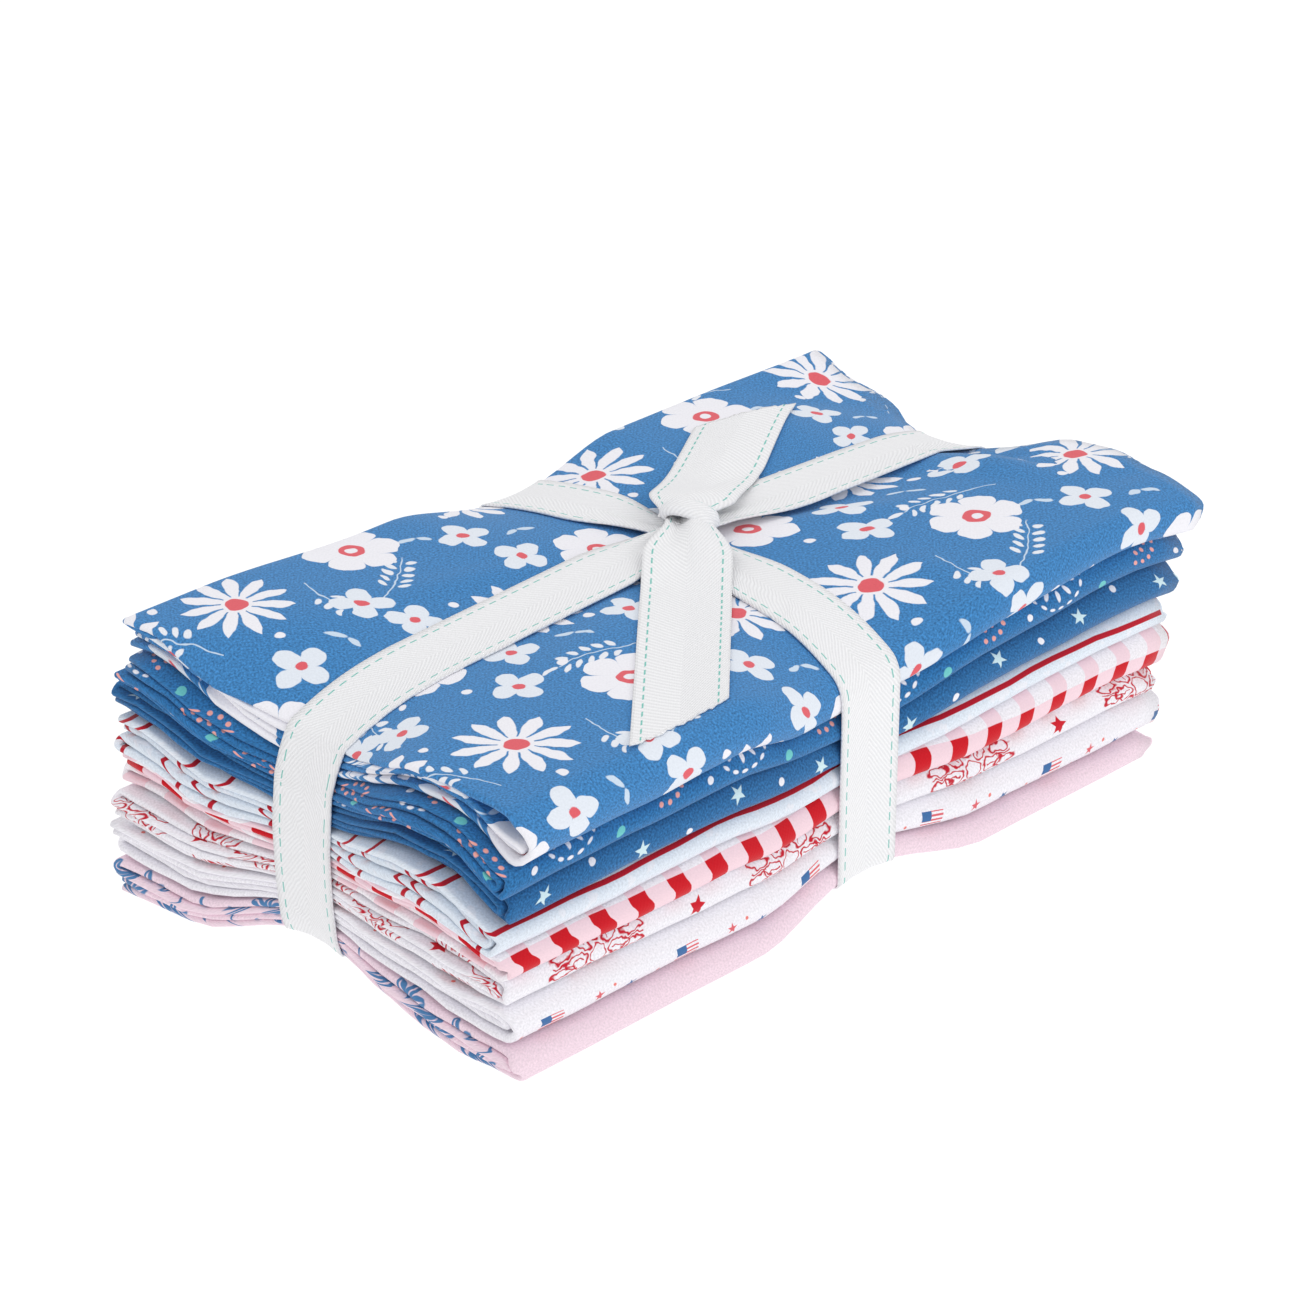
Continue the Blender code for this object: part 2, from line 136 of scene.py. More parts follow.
class Paint:
    """One material and the nodes that work it out."""

    def __init__(self, name):
        self.material = bpy.data.materials.new(name)
        self.material.use_nodes = True
        self.tree = self.material.node_tree
        self.shader = self.tree.nodes["Principled BSDF"]
        self.finish({"Metallic": 0.0})

    def node(self, kind, settings=None, inputs=None, output=0):
        made = self.tree.nodes.new(kind)
        for name, setting in (settings or {}).items():
            setattr(made, name, setting)
        for name, value in (inputs or {}).items():
            if isinstance(value, Field):
                self.tree.links.new(value.socket, made.inputs[name])
            else:
                made.inputs[name].default_value = value
        return Field(self, made.outputs[output])

    def math(self, operation, *values, clamp=False):
        return self.node("ShaderNodeMath", {"operation": operation, "use_clamp": clamp},
                         dict(enumerate(values)))

    def vector(self, operation, *values):
        return self.node("ShaderNodeVectorMath", {"operation": operation}, dict(enumerate(values)))

    def length(self, vector):
        return self.node("ShaderNodeVectorMath", {"operation": "LENGTH"}, {0: vector}, output="Value")

    def parts(self, vector):
        split = self.node("ShaderNodeSeparateXYZ", inputs={0: vector})
        return [Field(self, socket) for socket in split.socket.node.outputs]

    def pick_vector(self, share, a, b):
        return self.node("ShaderNodeMix", {"data_type": "VECTOR"}, {0: share, 4: a, 5: b}, output=1)

    def pick_colour(self, share, a, b):
        return self.node("ShaderNodeMix", {"data_type": "RGBA"}, {0: share, 6: a, 7: b}, output=2)

    def under(self, value, limit, soft):
        """1 where the value is under the limit and 0 where it is over, with a soft edge that wide."""
        if isinstance(limit, Field):
            return self.math("MULTIPLY_ADD", limit - value, 1 / soft, 0.5, clamp=True)
        return self.math("MULTIPLY_ADD", value, -1 / soft, limit / soft + 0.5, clamp=True)

    def either(self, *masks):
        found = masks[0]
        for mask in masks[1:]:
            found = self.math("MAXIMUM", found, mask)
        return found

    def stamp(self, mask, colour):
        """Print a colour over what is there so far."""
        self.colour = self.pick_colour(mask, self.colour, colour)

    def feed(self, name, field):
        self.tree.links.new(field.socket, self.shader.inputs[name])

    def finish(self, values):
        """Give the shader plain values."""
        for name, value in values.items():
            self.shader.inputs[name].default_value = value


def ink(code):
    """A colour from its sRGB code, as the light values that shaders use."""
    shares = [int(code[i:i + 2], 16) / 255 for i in (1, 3, 5)]
    return (*[s / 12.92 if s <= 0.04045 else ((s + 0.055) / 1.055) ** 2.4 for s in shares], 1.0)


WHITE, CHALK, PALE_BLUE, MINT = ink("#f3f2f8"), ink("#eceff6"), ink("#cfe0f1"), ink("#6fcac9")
RED, CORAL = ink("#cf1026"), ink("#e4606a")
print("red as light:", [round(v, 3) for v in RED])

# %% Floor of white paper
bm = bmesh.new()
bmesh.ops.create_grid(bm, x_segments=1, y_segments=1, size=4)
bmesh.ops.translate(bm, verts=bm.verts, vec=(0, 0, -0.0002))
floor_mesh = bpy.data.meshes.new("floor")
bm.to_mesh(floor_mesh)
bm.free()
floor = bpy.data.objects.new("floor", floor_mesh)
bpy.context.scene.collection.objects.link(floor)
paper = Paint("white_paper")
paper.finish({"Base Color": (0.1, 0.1, 0.1, 1), "Emission Color": (1, 1, 1, 1),
              "Emission Strength": 0.98, "Roughness": 0.9})
floor_mesh.materials.append(paper.material)
print("floor 8 m wide")

# %% [markdown]
# ## The shape of the stack
#
# The ribbon squeezes the stack, so its top and its underside have a valley under each run. These are the
# same heights that the solids follow. Numpy works them out for a whole sheet at once.

# %% Sizes of the stack and heights of its seams
LENGTH, DEPTH, HEIGHT = 229.0, 131.0, 70.5
SHIFT_X, SHIFT_Y = 0.3, 0.2
LEFT, RIGHT = SHIFT_X - LENGTH / 2, SHIFT_X + LENGTH / 2
FRONT, BACK = SHIFT_Y - DEPTH / 2, SHIFT_Y + DEPTH / 2
GAP = 0.7
KNOT = (17.0, 9.2)
RIBBON_DRAWN_BACK = 4.5
RIBBON_ENDS_X = dict(front=4.0, back=9.0)

VALLEY_COLUMNS = ("run", "rounded", "middle", "at_low_end", "at_high_end", "start", "end",
                  "low_side", "high_side", "low_side_at_low_end", "high_side_at_low_end",
                  "high_side_at_high_end")
VALLEYS = {row[0]: dict(zip(VALLEY_COLUMNS, row)) for row in (
    ("under_lengthwise", False, 5.0, 3.6, 3.4, 50, 114, 34, 34, 24, 4, 0),
    ("under_crosswise", False, 5.0, 1.4, 1.4, 25, 64, 38, 40, 0, 0, 0),
    ("top_lengthwise", True, 2.4, 13.0, 11.0, 74, 118, 32, 32, 10, 24, 10),
    ("top_crosswise", True, 3.0, 10.5, 5.0, 30, 66, 42, 36, 7, 7, 0),
)}
LOBE_COLUMNS = ("place", "height", "along", "across")
LOBES = [dict(zip(LOBE_COLUMNS, row)) for row in (
    ("back left", 2.8, (-40, -92), (8, 48)),
    ("right front", 3.0, (30, 100), (-8, -45)),
    ("right front corner, which hangs", -6.0, (88, 130), (-40, -72)),
)]
# Ridges and troughs: a middle, a direction, a length, a half width and a depth, which is
# negative for a ridge. These shape the whole stack at its +X end, beside the ribbon and at the corner.
CREASE_COLUMNS = ("x", "y", "turn", "length", "width", "depth")
SWELLS = [dict(zip(CREASE_COLUMNS, row)) for row in (
    (118.0, 0.0, 0.0, 90.0, 30.0, -4.8),
    (118.0, 44.0, 0.0, 80.0, 24.0, 6.3),
    (96.0, -20.0, -80.0, 52.0, 9.0, -2.2),
    (105.0, -14.0, -80.0, 46.0, 8.0, 2.8),
    (116.0, -59.0, 0.0, 50.0, 10.0, -1.6),
)]
DRAWN_ENDS = dict(middle=0.0, top=6.0, bottom=2.5, half_width=38.0)
DRAWN_FRONT = dict(middle=2.8, half_width=42.0, along=(-14, -60))
CUT_COLUMNS = ("name", "inside", "front_left", "front_right", "left_front", "left_back",
               "right", "front", "back", "joined")
CUTS = [dict(zip(CUT_COLUMNS, row)) for row in (
    ("cut_pink", 9.5, 8.5, 5.5, 0.5, 8.0, -6.0, 1.5, 1.0, "upper"),
    ("cut_flags", 10.0, 10.5, 8.5, 0.0, 7.5, 0.0, 0.0, 2.0, "lower"),
    ("cut_red_line", 9.0, 7.3, 8.5, 1.0, 8.5, -2.0, -1.0, 0.0, "upper"),
    ("cut_gingham", 8.5, 7.7, 11.5, 2.5, 4.5, 1.4, 0.3, 1.5, "lower"),
    ("cut_stripe", 10.0, 6.0, 7.0, 5.0, 6.5, 0.7, -0.5, -1.0, "lower"),
    ("cut_stars", 8.0, 8.0, 10.5, 0.5, 5.5, 3.5, 0.0, 1.0, "upper"),
    ("cut_dots", 7.5, 7.0, 10.5, 2.5, 6.0, 4.4, 0.5, -1.5, "lower"),
    ("cut_daisies", 8.0, 16.0, 10.0, -1.0, 1.5, 7.5, 4.0, 0.0, "upper"),
)]
FRONT_FOLD_BLEND = 20.0


def mix(a, b, share):
    return a + (b - a) * share


def rise(value, start, end):
    """0 before start and 1 after end, smooth between them."""
    t = np.clip((value - start) / (end - start), 0, 1)
    return t * t * (3 - 2 * t)


def steepen(value, start, end):
    """0 before start and 1 at the end, ever steeper between them."""
    return np.clip((value - start) / (end - start), 0, 1) ** 2


def hump(distance, below, above):
    """1 at distance 0, and 0 from the two half widths outwards."""
    t = distance / np.where(distance < 0, below, above)
    return np.clip(1 - t * t, 0, None) ** 2


def lengthwise_y(x):
    return KNOT[1] - RIBBON_DRAWN_BACK * np.minimum(1.0, np.abs(x - KNOT[0]) / 100)


def crosswise_x(y):
    """The middle line of the crosswise ribbon, from the knot to the front and to the back."""
    at_knot = KNOT[0] - 2
    to_front = mix(at_knot, RIBBON_ENDS_X["front"], np.clip((y - KNOT[1]) / (FRONT - KNOT[1]), 0, 1))
    to_back = mix(at_knot, RIBBON_ENDS_X["back"], np.clip((y - KNOT[1]) / (BACK - KNOT[1]), 0, 1))
    return np.where(y < KNOT[1], to_front, to_back)


def valley(run, along, aside):
    row = VALLEYS[run]
    growing = steepen if row["rounded"] else rise
    low_end, high_end = (growing(side * along, row["start"], row["end"]) for side in (-1, 1))
    depth = row["middle"] + row["at_low_end"] * low_end + row["at_high_end"] * high_end
    low_side = row["low_side"] + row["low_side_at_low_end"] * low_end
    high_side = (row["high_side"] + row["high_side_at_low_end"] * low_end
                 + row["high_side_at_high_end"] * high_end)
    return depth * hump(aside, low_side, high_side)


def merged(a, b):
    return (a ** 3 + b ** 3) ** (1 / 3)


def pressed(rows, x, y):
    """How far ridges and troughs lower a surface."""
    total = 0.0
    for row in rows:
        turn = math.radians(row["turn"])
        along = (x - row["x"]) * math.cos(turn) + (y - row["y"]) * math.sin(turn)
        aside = (y - row["y"]) * math.cos(turn) - (x - row["x"]) * math.sin(turn)
        reach = row["length"] / 2
        total = total + row["depth"] * hump(along, reach, reach) * hump(aside, row["width"], row["width"])
    return total


def underside(x, y):
    return merged(valley("under_lengthwise", x, y - lengthwise_y(x)),
                  valley("under_crosswise", y, x - crosswise_x(y)))


def top(x, y):
    puff = sum(lobe["height"] * rise(x, *lobe["along"]) * rise(y, *lobe["across"]) for lobe in LOBES)
    squeezed = merged(valley("top_lengthwise", x, y - lengthwise_y(x)),
                      valley("top_crosswise", y, x - crosswise_x(y)))
    return HEIGHT + puff - squeezed - pressed(SWELLS, x, y)


def waves(seed, *terms):
    """Small unevenness: a few sine waves, each with its size, its place and its length in millimetres."""
    total = 0.0
    for number, (size, place, length) in enumerate(terms):
        total = total + size * np.sin(2 * np.pi * place / length + 1.7 * seed + 2.9 * number * seed + number)
    return total


def seam(number, x, y):
    """Height of the seam above that many cuts."""
    at_front = rise(FRONT + FRONT_FOLD_BLEND - y, 0, FRONT_FOLD_BLEND)
    along = np.clip((x - LEFT) / LENGTH, 0, 1)
    heights = [mix(c["inside"], mix(c["front_left"], c["front_right"], along), at_front) for c in CUTS]
    low = underside(x, y)
    height = low + (top(x, y) - low) * sum(heights[:number]) / sum(heights)
    if 0 < number < len(CUTS):
        height = height + waves(number, (0.30, x, 61.0), (0.25, y, 47.0), (0.12, x + y, 23.0))
    return height


print("height in the middle and at the knot:", float(top(-60, -45)), round(float(top(*KNOT)), 1))

# %% [markdown]
# ## One cut of cloth
#
# A one-yard cut is doubled along the yard, doubled again, and then folded back and forth until it is as
# deep as the stack. The solids hold each layer as one thick sheet. Here the sheet is thin: a grid is
# created flat, its rows follow the fold back and forth, and its columns run across the strip four times,
# in two hairpins at the -X end. Solidify then gives the cloth its thickness. A cloth simulation would
# have to press sixteen plies together, so the plies are placed by a rule instead.

# %% Columns across the strip and rows along it
CLOTH = 0.30
PLIES = 4
PLAIN_RUN, PLAIN_COLUMNS = 22, 28       # rows and columns of the runs that are mostly hidden


def arc(steps):
    return np.linspace(0, np.pi, steps + 2)[1:-1]


def strip_columns(fine, plain):
    """For each column: the share of the way to -X, the ply offset, the bulge and which end it stops at.

    Offsets and bulges are in ply pitches from the middle of the layer.
    """
    def run(count):
        return 1 - (1 - np.linspace(0, 1, count)) ** 1.3

    def level(shares, offset, short=0.0):
        return shares, np.full_like(shares, offset), np.zeros_like(shares), np.full_like(shares, short)

    def hairpin(share, angles, middle, start, bulge):
        offsets, bulges = middle + start * np.cos(angles), bulge * np.sin(angles)
        return np.full_like(angles, share), offsets, bulges, np.zeros_like(angles)

    groups = [
        level(run(fine), -1.5, 1.6),
        hairpin(1, arc(9), 0, -1.5, 1.5),
        level(run(plain)[::-1], 1.5),
        hairpin(0, arc(4), 1, 0.5, -0.5),
        level(run(plain), 0.5),
        hairpin(1, arc(5), 0, 0.5, 0.5),
        level(run(plain)[::-1], -0.5, 0.7),
    ]
    return [np.concatenate([group[i] for group in groups]) for i in range(4)]


def strip_rows(joined, fine, plain):
    """For each row: the layer it leaves, the layer it goes to, the angle of a turn, and how far back it is.

    Layers are counted from the bottom. In a turn the angle goes from -90 to 90 degrees.
    """
    order = (0, 3, 2, 1) if joined == "upper" else (3, 0, 1, 2)
    first, second, third, fourth = order
    front_to_back = np.linspace(0, 1, fine) ** 1.25
    plain_run = np.linspace(0, 1, plain) ** 1.25
    rows = [(first, first, 0.0, s) for s in plain_run[::-1]]
    rows += [(first, second, a - np.pi / 2, 0.0) for a in arc(11)]
    rows += [(second, second, 0.0, s) for s in front_to_back]
    rows += [(second, third, a - np.pi / 2, 1.0) for a in arc(5)]
    rows += [(third, third, 0.0, s) for s in plain_run[::-1]]
    rows += [(third, fourth, a - np.pi / 2, 0.0) for a in arc(5)]
    rows += [(fourth, fourth, 0.0, s) for s in plain_run]
    return [np.array(column) for column in zip(*rows)], order


rows, _ = strip_rows("upper", 26, PLAIN_RUN)
print("rows along a strip:", len(rows[0]), "columns across:", len(strip_columns(36, PLAIN_COLUMNS)[0]))

# %% Where every point of a folded cut lies
POCKETS = (0.10, 0.08, 0.82)    # how the slack of a loose front fold is shared between its layers
STAGGER = 1.2                   # how far the layers of a cut are out of line at its ends
FOLD_MEASURED_AT = 6            # behind the front edge, where the room for a front fold is measured
ROUNDEST_FOLD = 5.5
INNER_FOLD = dict(round=1.15, pitches=1.05, slack=0.06, gap=0.5)    # it stays behind the outer one
RAGGED_REAR = 2.0               # how far the two cut edges at the back stay inside the fold there
PLY_PITCH = 0.96                # of a layer's share for each ply, so that layers don't touch


def layer_pitch(number, cut, x, y):
    """Thickness of one folded layer, and the slack that the cut has left there."""
    thick = seam(number + 1, x, y) - seam(number, x, y) - GAP * (1.0 if number else 0.5)
    pitch = np.minimum(cut["inside"] / 4, thick / 4)
    return pitch, thick - 4 * pitch


def layer_height(number, cut, layer, x, y):
    """Height of the middle of a layer, counted from the bottom of the cut."""
    pitch, slack = layer_pitch(number, cut, x, y)
    shares = POCKETS if cut["joined"] == "upper" else POCKETS[::-1]
    base = seam(number, x, y) + (GAP / 2 if number else 0.0)
    below = np.concatenate([[0.0], np.cumsum(shares)])[layer]
    uneven = 0.07 * pitch * np.sin(y / 17.0 + 2.3 * layer + number) * np.sin(np.pi * layer / 3)
    return base + pitch * (layer + 0.5) + slack * below + uneven


def end_reach(number, cut, layer, y):
    """The x of the two ends: the layers are staggered, and the ribbon draws them to its own line."""
    along = np.clip((y - FRONT) / DEPTH, 0, 1)
    share = layer / 3
    stagger = STAGGER * np.sin(5.0 * share + 2.1 * cut["left_back"])
    rough = waves(number + 3.1 * share, (0.35, y, 37.0), (0.22, y, 15.0))
    level = (number + share) / len(CUTS)
    line = DRAWN_ENDS["middle"] + DRAWN_ENDS["top"] * level ** 6 + DRAWN_ENDS["bottom"] * (1 - level) ** 6
    drawn = hump(y - lengthwise_y(LEFT), DRAWN_ENDS["half_width"], DRAWN_ENDS["half_width"])
    left = mix(mix(cut["left_front"], cut["left_back"], along) + stagger - rough, -line, drawn)
    right = mix(cut["right"] + stagger - rough, -line, drawn)
    return LEFT - left, RIGHT + right


def drawn_back(cut, x, y):
    """The y of a place in a cut, where the crosswise ribbon draws the front fold in to its own line."""
    drawn = hump(x - crosswise_x(FRONT), DRAWN_FRONT["half_width"], DRAWN_FRONT["half_width"])
    return y + (cut["front"] + DRAWN_FRONT["middle"]) * drawn * rise(y, *DRAWN_FRONT["along"])


def unit(y, z):
    size = np.maximum(np.hypot(y, z), 1e-9)
    return y / size, z / size


def sheet_x(number, cut, layer, rough_y, t, short):
    """The x of each point, from the two ends of its row."""
    left, right = end_reach(number, cut, layer, rough_y)
    pitch, _ = layer_pitch(number, cut, left, rough_y)
    hairpin = left + 1.5 * pitch / PLIES + CLOTH / 2
    return mix(right - short, hairpin, t)


def sheet_y(number, cut, rows, order, x):
    """The y of each point: two turns in front, one inside the other, and one at the rear."""
    leaves, goes, angle, back = rows
    front, rear = FRONT - cut["front"], BACK + cut["back"]
    measured = drawn_back(cut, x, np.full_like(x, front + FOLD_MEASURED_AT))
    pitch, slack = layer_pitch(number, cut, x, measured)
    outer_round = np.minimum(0.5 * (3 * pitch + slack), ROUNDEST_FOLD)
    outer_nose = front + pitch / 2
    inner_round = 0.5 * pitch * INNER_FOLD["round"]
    inner_nose = outer_nose + pitch * INNER_FOLD["pitches"] + INNER_FOLD["slack"] * slack + INNER_FOLD["gap"]
    rear_round = 0.5 * pitch
    rear_nose = rear - pitch / 2
    # the level layers, from their turn in front to their turn or their cut edge at the rear
    ragged = RAGGED_REAR + waves(number, (0.8, x, 83.0), (0.35, x, 19.0))
    start = np.where(np.isin(leaves, order[:2]), outer_nose + outer_round, inner_nose + inner_round)
    end = np.where(np.isin(leaves, order[1:3]), rear_nose - rear_round, rear - ragged)
    y = mix(start, end, back)
    # the turns; the lower half of the lowest cut's outer turn lies flat on the floor
    turning = leaves != goes
    in_turn = 1 - np.cos(angle)
    squashed = (angle < 0) & (number == 0)
    y = np.where(turning & (back > 0.5), rear_nose - rear_round * in_turn, y)
    y = np.where(turning & (back < 0.5) & (leaves == order[0]),
                 outer_nose + outer_round * in_turn ** np.where(squashed, 3, 1), y)
    y = np.where(turning & (back < 0.5) & (leaves == order[2]), inner_nose + inner_round * in_turn, y)
    return drawn_back(cut, x, y)


def sheet_z(number, cut, rows, x, y):
    """The height of each point: that of its layer, or in a turn between those of the two it joins."""
    leaves, goes, angle, _ = rows
    heights = [layer_height(number, cut, layer, x, y) for layer in range(4)]
    low, high = (np.choose(ends.astype(int) + np.zeros_like(x, int), heights) for ends in (leaves, goes))
    return np.where(leaves != goes, mix(low, high, (1 + np.sin(angle)) / 2), low)


def strip_ways(y, z):
    """Which way the strip runs at each point, as a y and a z."""
    step_y, step_z = unit(np.diff(y, axis=0), np.diff(z, axis=0))
    step_y = np.vstack([step_y[:1], step_y, step_y[-1:]])
    step_z = np.vstack([step_z[:1], step_z, step_z[-1:]])
    return unit(step_y[:-1] + step_y[1:], step_z[:-1] + step_z[1:])


def cut_points(number, cut, fine_columns, fine_rows):
    """The points of one folded cut as a table of rows and columns, in millimetres, and its flat places."""
    rows, order = strip_rows(cut["joined"], fine_rows, PLAIN_RUN)
    rows = [column[:, None] for column in rows]
    leaves, goes, angle, back = rows
    t, offset, bulge, short = strip_columns(fine_columns, PLAIN_COLUMNS)
    layer = np.where(leaves != goes, mix(leaves, goes, (1 + np.sin(angle)) / 2), leaves)
    rough_y = mix(FRONT - cut["front"], BACK + cut["back"], back)
    x = sheet_x(number, cut, layer, rough_y, t, short)
    y = sheet_y(number, cut, rows, order, x)
    z = sheet_z(number, cut, rows, x, y)
    if cut["name"] == "cut_daisies":
        z = z - pressed(CREASES, x, y) * np.clip(layer / 3, 0, 1) ** 2
    # plies beside each other, square to the way the strip runs
    way_y, way_z = strip_ways(y, z)
    sign = 1 if cut["joined"] == "upper" else -1
    pitch, _ = layer_pitch(number, cut, x, y)
    ply = PLY_PITCH * pitch / PLIES
    points = np.stack([
        x - bulge * ply,
        y + sign * way_z * offset * ply,
        z - sign * way_y * offset * ply,
    ], axis=-1)
    return points, flat_places(points, order, leaves)


def flat_places(points, order, leaves):
    """Where each point lies on the flat cloth: across the strip and along it, in millimetres.

    The origin is at the -X end of the first ply, where the layer after the big turn starts.
    """
    across = np.linalg.norm(np.diff(points[len(points) // 3], axis=0), axis=1)
    across = np.concatenate([[0], np.cumsum(across)])
    along = np.linalg.norm(np.diff(points, axis=0), axis=2)
    along = np.vstack([np.zeros(points.shape[1]), np.cumsum(along, axis=0)])
    after_turn = int(np.argmax(leaves == order[1]))
    return (LENGTH - across)[None, :] + 0 * along, along - along[after_turn]


# %% [markdown]
# ### Creases in the top
#
# The pull of the ribbon leaves soft creases in the top cut. Each is listed with a middle, a
# direction, a length, a width and a depth, where a negative depth is a ridge.

# %% Creases of the top
CREASES = [dict(zip(CREASE_COLUMNS, row)) for row in (
    (-40.0, 27.0, 168.0, 60.0, 7.0, -0.9),
    (-38.0, -14.0, 205.0, 58.0, 8.0, -0.8),
    (52.0, -12.0, -28.0, 62.0, 8.0, -1.0),
    (60.0, -2.0, -12.0, 70.0, 6.0, 0.7),
    (48.0, 32.0, 35.0, 50.0, 8.0, -0.8),
    (-10.0, -35.0, 247.0, 42.0, 7.0, 0.7),
    (38.0, -42.0, -55.0, 48.0, 9.0, -0.7),
    (-78.0, -25.0, 12.0, 52.0, 10.0, 0.6),
    (88.0, 26.0, 75.0, 40.0, 9.0, 0.6),
)]
print("creases on top:", len(CREASES))

# %% The sheet itself
def make_sheet(name, points, flat, thickness, material, turned=False, closed=False):
    """A cloth sheet: a grid whose points are moved into place, with its flat places as a UV map."""
    row_count, column_count = points.shape[:2]
    bm = bmesh.new()
    bmesh.ops.create_grid(bm, x_segments=column_count - 1, y_segments=row_count - 1, size=0.5)
    if turned:
        bmesh.ops.reverse_faces(bm, faces=bm.faces)
    mesh = bpy.data.meshes.new(name)
    bm.to_mesh(mesh)
    bm.free()
    mesh.vertices.foreach_set("co", (points.reshape(-1, 3) * MM).astype(np.float32).ravel())
    places = np.stack([flat[0].ravel(), flat[1].ravel()], axis=-1).astype(np.float32)
    corners = np.zeros(len(mesh.loops), np.int32)
    mesh.loops.foreach_get("vertex_index", corners)
    layer = mesh.uv_layers.new(name="Cloth")
    layer.data.foreach_set("uv", places[corners].ravel())
    if closed:
        bm = bmesh.new()
        bm.from_mesh(mesh)
        bmesh.ops.remove_doubles(bm, verts=bm.verts, dist=1e-6)
        bm.to_mesh(mesh)
        bm.free()
    mesh.update()
    mesh.shade_smooth()
    mesh.materials.append(material)
    obj = bpy.data.objects.new(name, mesh)
    bpy.context.scene.collection.objects.link(obj)
    wall = obj.modifiers.new("Thickness", "SOLIDIFY")
    wall.thickness = thickness * MM
    wall.offset = 0
    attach(obj, "root")
    return obj


# %% [markdown]
# ## The prints
#
# Each print repeats, so one motif of each kind is worked out once and used at every spot of a short list.
# For each point of the cloth the nearest spot is found, and the motif is drawn round it. The motifs are
# ordinary ones, drawn by formula: daisies, four-petalled blossoms, sprigs, stars, small flags and dots, in
# layouts of my own. Only the stripe and the gingham are spaced like the real ones. On the flat cloth, v = 0
# is where the front fold ends, and u = 0 is the folded -X end.

# %% Finding the nearest motif
TURN_SCALE = 100.0      # a spot's turn rides in the third number of a vector, made small by this
EDGE = 0.25             # how soft the edges of the larger motifs are


def nearest_spot(paint, place, repeat, spots):
    """The way from the nearest of the listed spots as x and y, and the distance.

    A spot is its u, its v and the motif's turn in degrees. The pattern repeats in that size.
    """
    best, shortest = None, None
    for u, v, turn in spots:
        high = (u + repeat[0] / 2, v + repeat[1] / 2, 1)
        low = (u - repeat[0] / 2, v - repeat[1] / 2, -1)
        wrapped = paint.vector("WRAP", place, high, low)
        away = paint.vector("SUBTRACT", wrapped, (u, v, -math.radians(turn) / TURN_SCALE))
        distance = paint.length(away)
        if best is None:
            best, shortest = away, distance
        else:
            best = paint.pick_vector(distance < shortest, best, away)
            shortest = paint.math("MINIMUM", distance, shortest)
    turn = paint.parts(best)[2] * TURN_SCALE
    level = paint.vector("MULTIPLY", best, (1, 1, 0))
    spun = paint.node("ShaderNodeVectorRotate", {"rotation_type": "Z_AXIS"}, {"Vector": level, "Angle": turn})
    x, y, _ = paint.parts(spun)
    return x, y, shortest


def petals(paint, x, y, distance, count):
    """The way along and beside the nearest of a ring of petals, and the angle of its middle."""
    angle = paint.math("ARCTAN2", y, x)
    middle = paint.math("ROUND", angle * (count / math.tau)) * (math.tau / count)
    off = angle - middle
    return distance * paint.math("COSINE", off), abs(distance * paint.math("SINE", off)), middle


def size_in(paint, x, y, width, height):
    """How far out a place is, where 1 is the rim of an ellipse with that half width and half height."""
    return paint.length(paint.node("ShaderNodeCombineXYZ", inputs={0: x / width, 1: y / height}))


def ellipse(paint, x, y, width, height, edge=0.2):
    return paint.under(size_in(paint, x, y, width, height), 1, edge / min(width, height))


def outline(paint, x, y, width, height, line=0.2):
    """The rim of an ellipse, drawn as a line with that half width."""
    rim = abs(size_in(paint, x, y, width, height) - 1)
    return paint.under(rim, line / min(width, height), line / min(width, height))


def lance(paint, along, aside, reach, width, blunt):
    """A petal that is narrow at its base, widest past its middle and ends at its reach."""
    share = along / reach
    half_width = share * (1 - paint.math("POWER", share, blunt)) * width
    return paint.under(aside - half_width, 0, EDGE) * (share > 0)


def centred(paint, value, repeat):
    """The way from the nearest of a row of middles, which are that far from each other."""
    return paint.math("WRAP", value, repeat / 2, -repeat / 2)


def stamp_dots(paint, place, repeat, spots, radius, colour, edge=0.2):
    """Print a round dot at each u and v of a list."""
    _, _, distance = nearest_spot(paint, place, repeat, [(u, v, 0) for u, v in spots])
    paint.stamp(paint.under(distance, radius, edge), colour)


def stamp_stars(paint, place, repeat, spots, size, notch, colour):
    """Print five-pointed stars: each is inside the straight lines between its tips and its notches."""
    x, y, distance = nearest_spot(paint, place, repeat, spots)
    along, aside, _ = petals(paint, x, y, distance, 5)
    paint.stamp(paint.under(along * notch + aside, size * notch, 0.18), colour)


def drawn_by_hand(paint, place, scale, size):
    """The place moved a little by a noise, so that drawn shapes aren't too regular."""
    noise = paint.node("ShaderNodeTexNoise", {"noise_dimensions": "2D"},
                       {"Vector": place, "Scale": scale, "Detail": 1.0}, output="Color")
    off = paint.vector("SUBTRACT", noise, (0.5, 0.5, 0.5))
    return paint.vector("MULTIPLY_ADD", off, (size, size, 0), place)


THREAD = 0.56       # from one thread to the next; real threads are finer, but a pixel wouldn't show them


def crossings(paint, place):
    """The crossings of the threads, from -1 to 1."""
    u, v, _ = paint.parts(place)
    return paint.math("SINE", u * (math.pi / THREAD)) * paint.math("SINE", v * (math.pi / THREAD))


def toned(paint, colour, tone):
    """A colour made darker or lighter by a tone, which leaves it alone where it is 1."""
    grey = paint.node("ShaderNodeCombineXYZ", inputs={0: tone, 1: tone, 2: tone})
    return paint.vector("MULTIPLY", colour, grey)


def raise_threads(paint, strength, depth, height):
    """Threads as a relief of that depth in millimetres, which only the light sees."""
    relief = {"Strength": strength, "Distance": depth * MM, "Height": height}
    paint.feed("Normal", paint.node("ShaderNodeBump", inputs=relief))


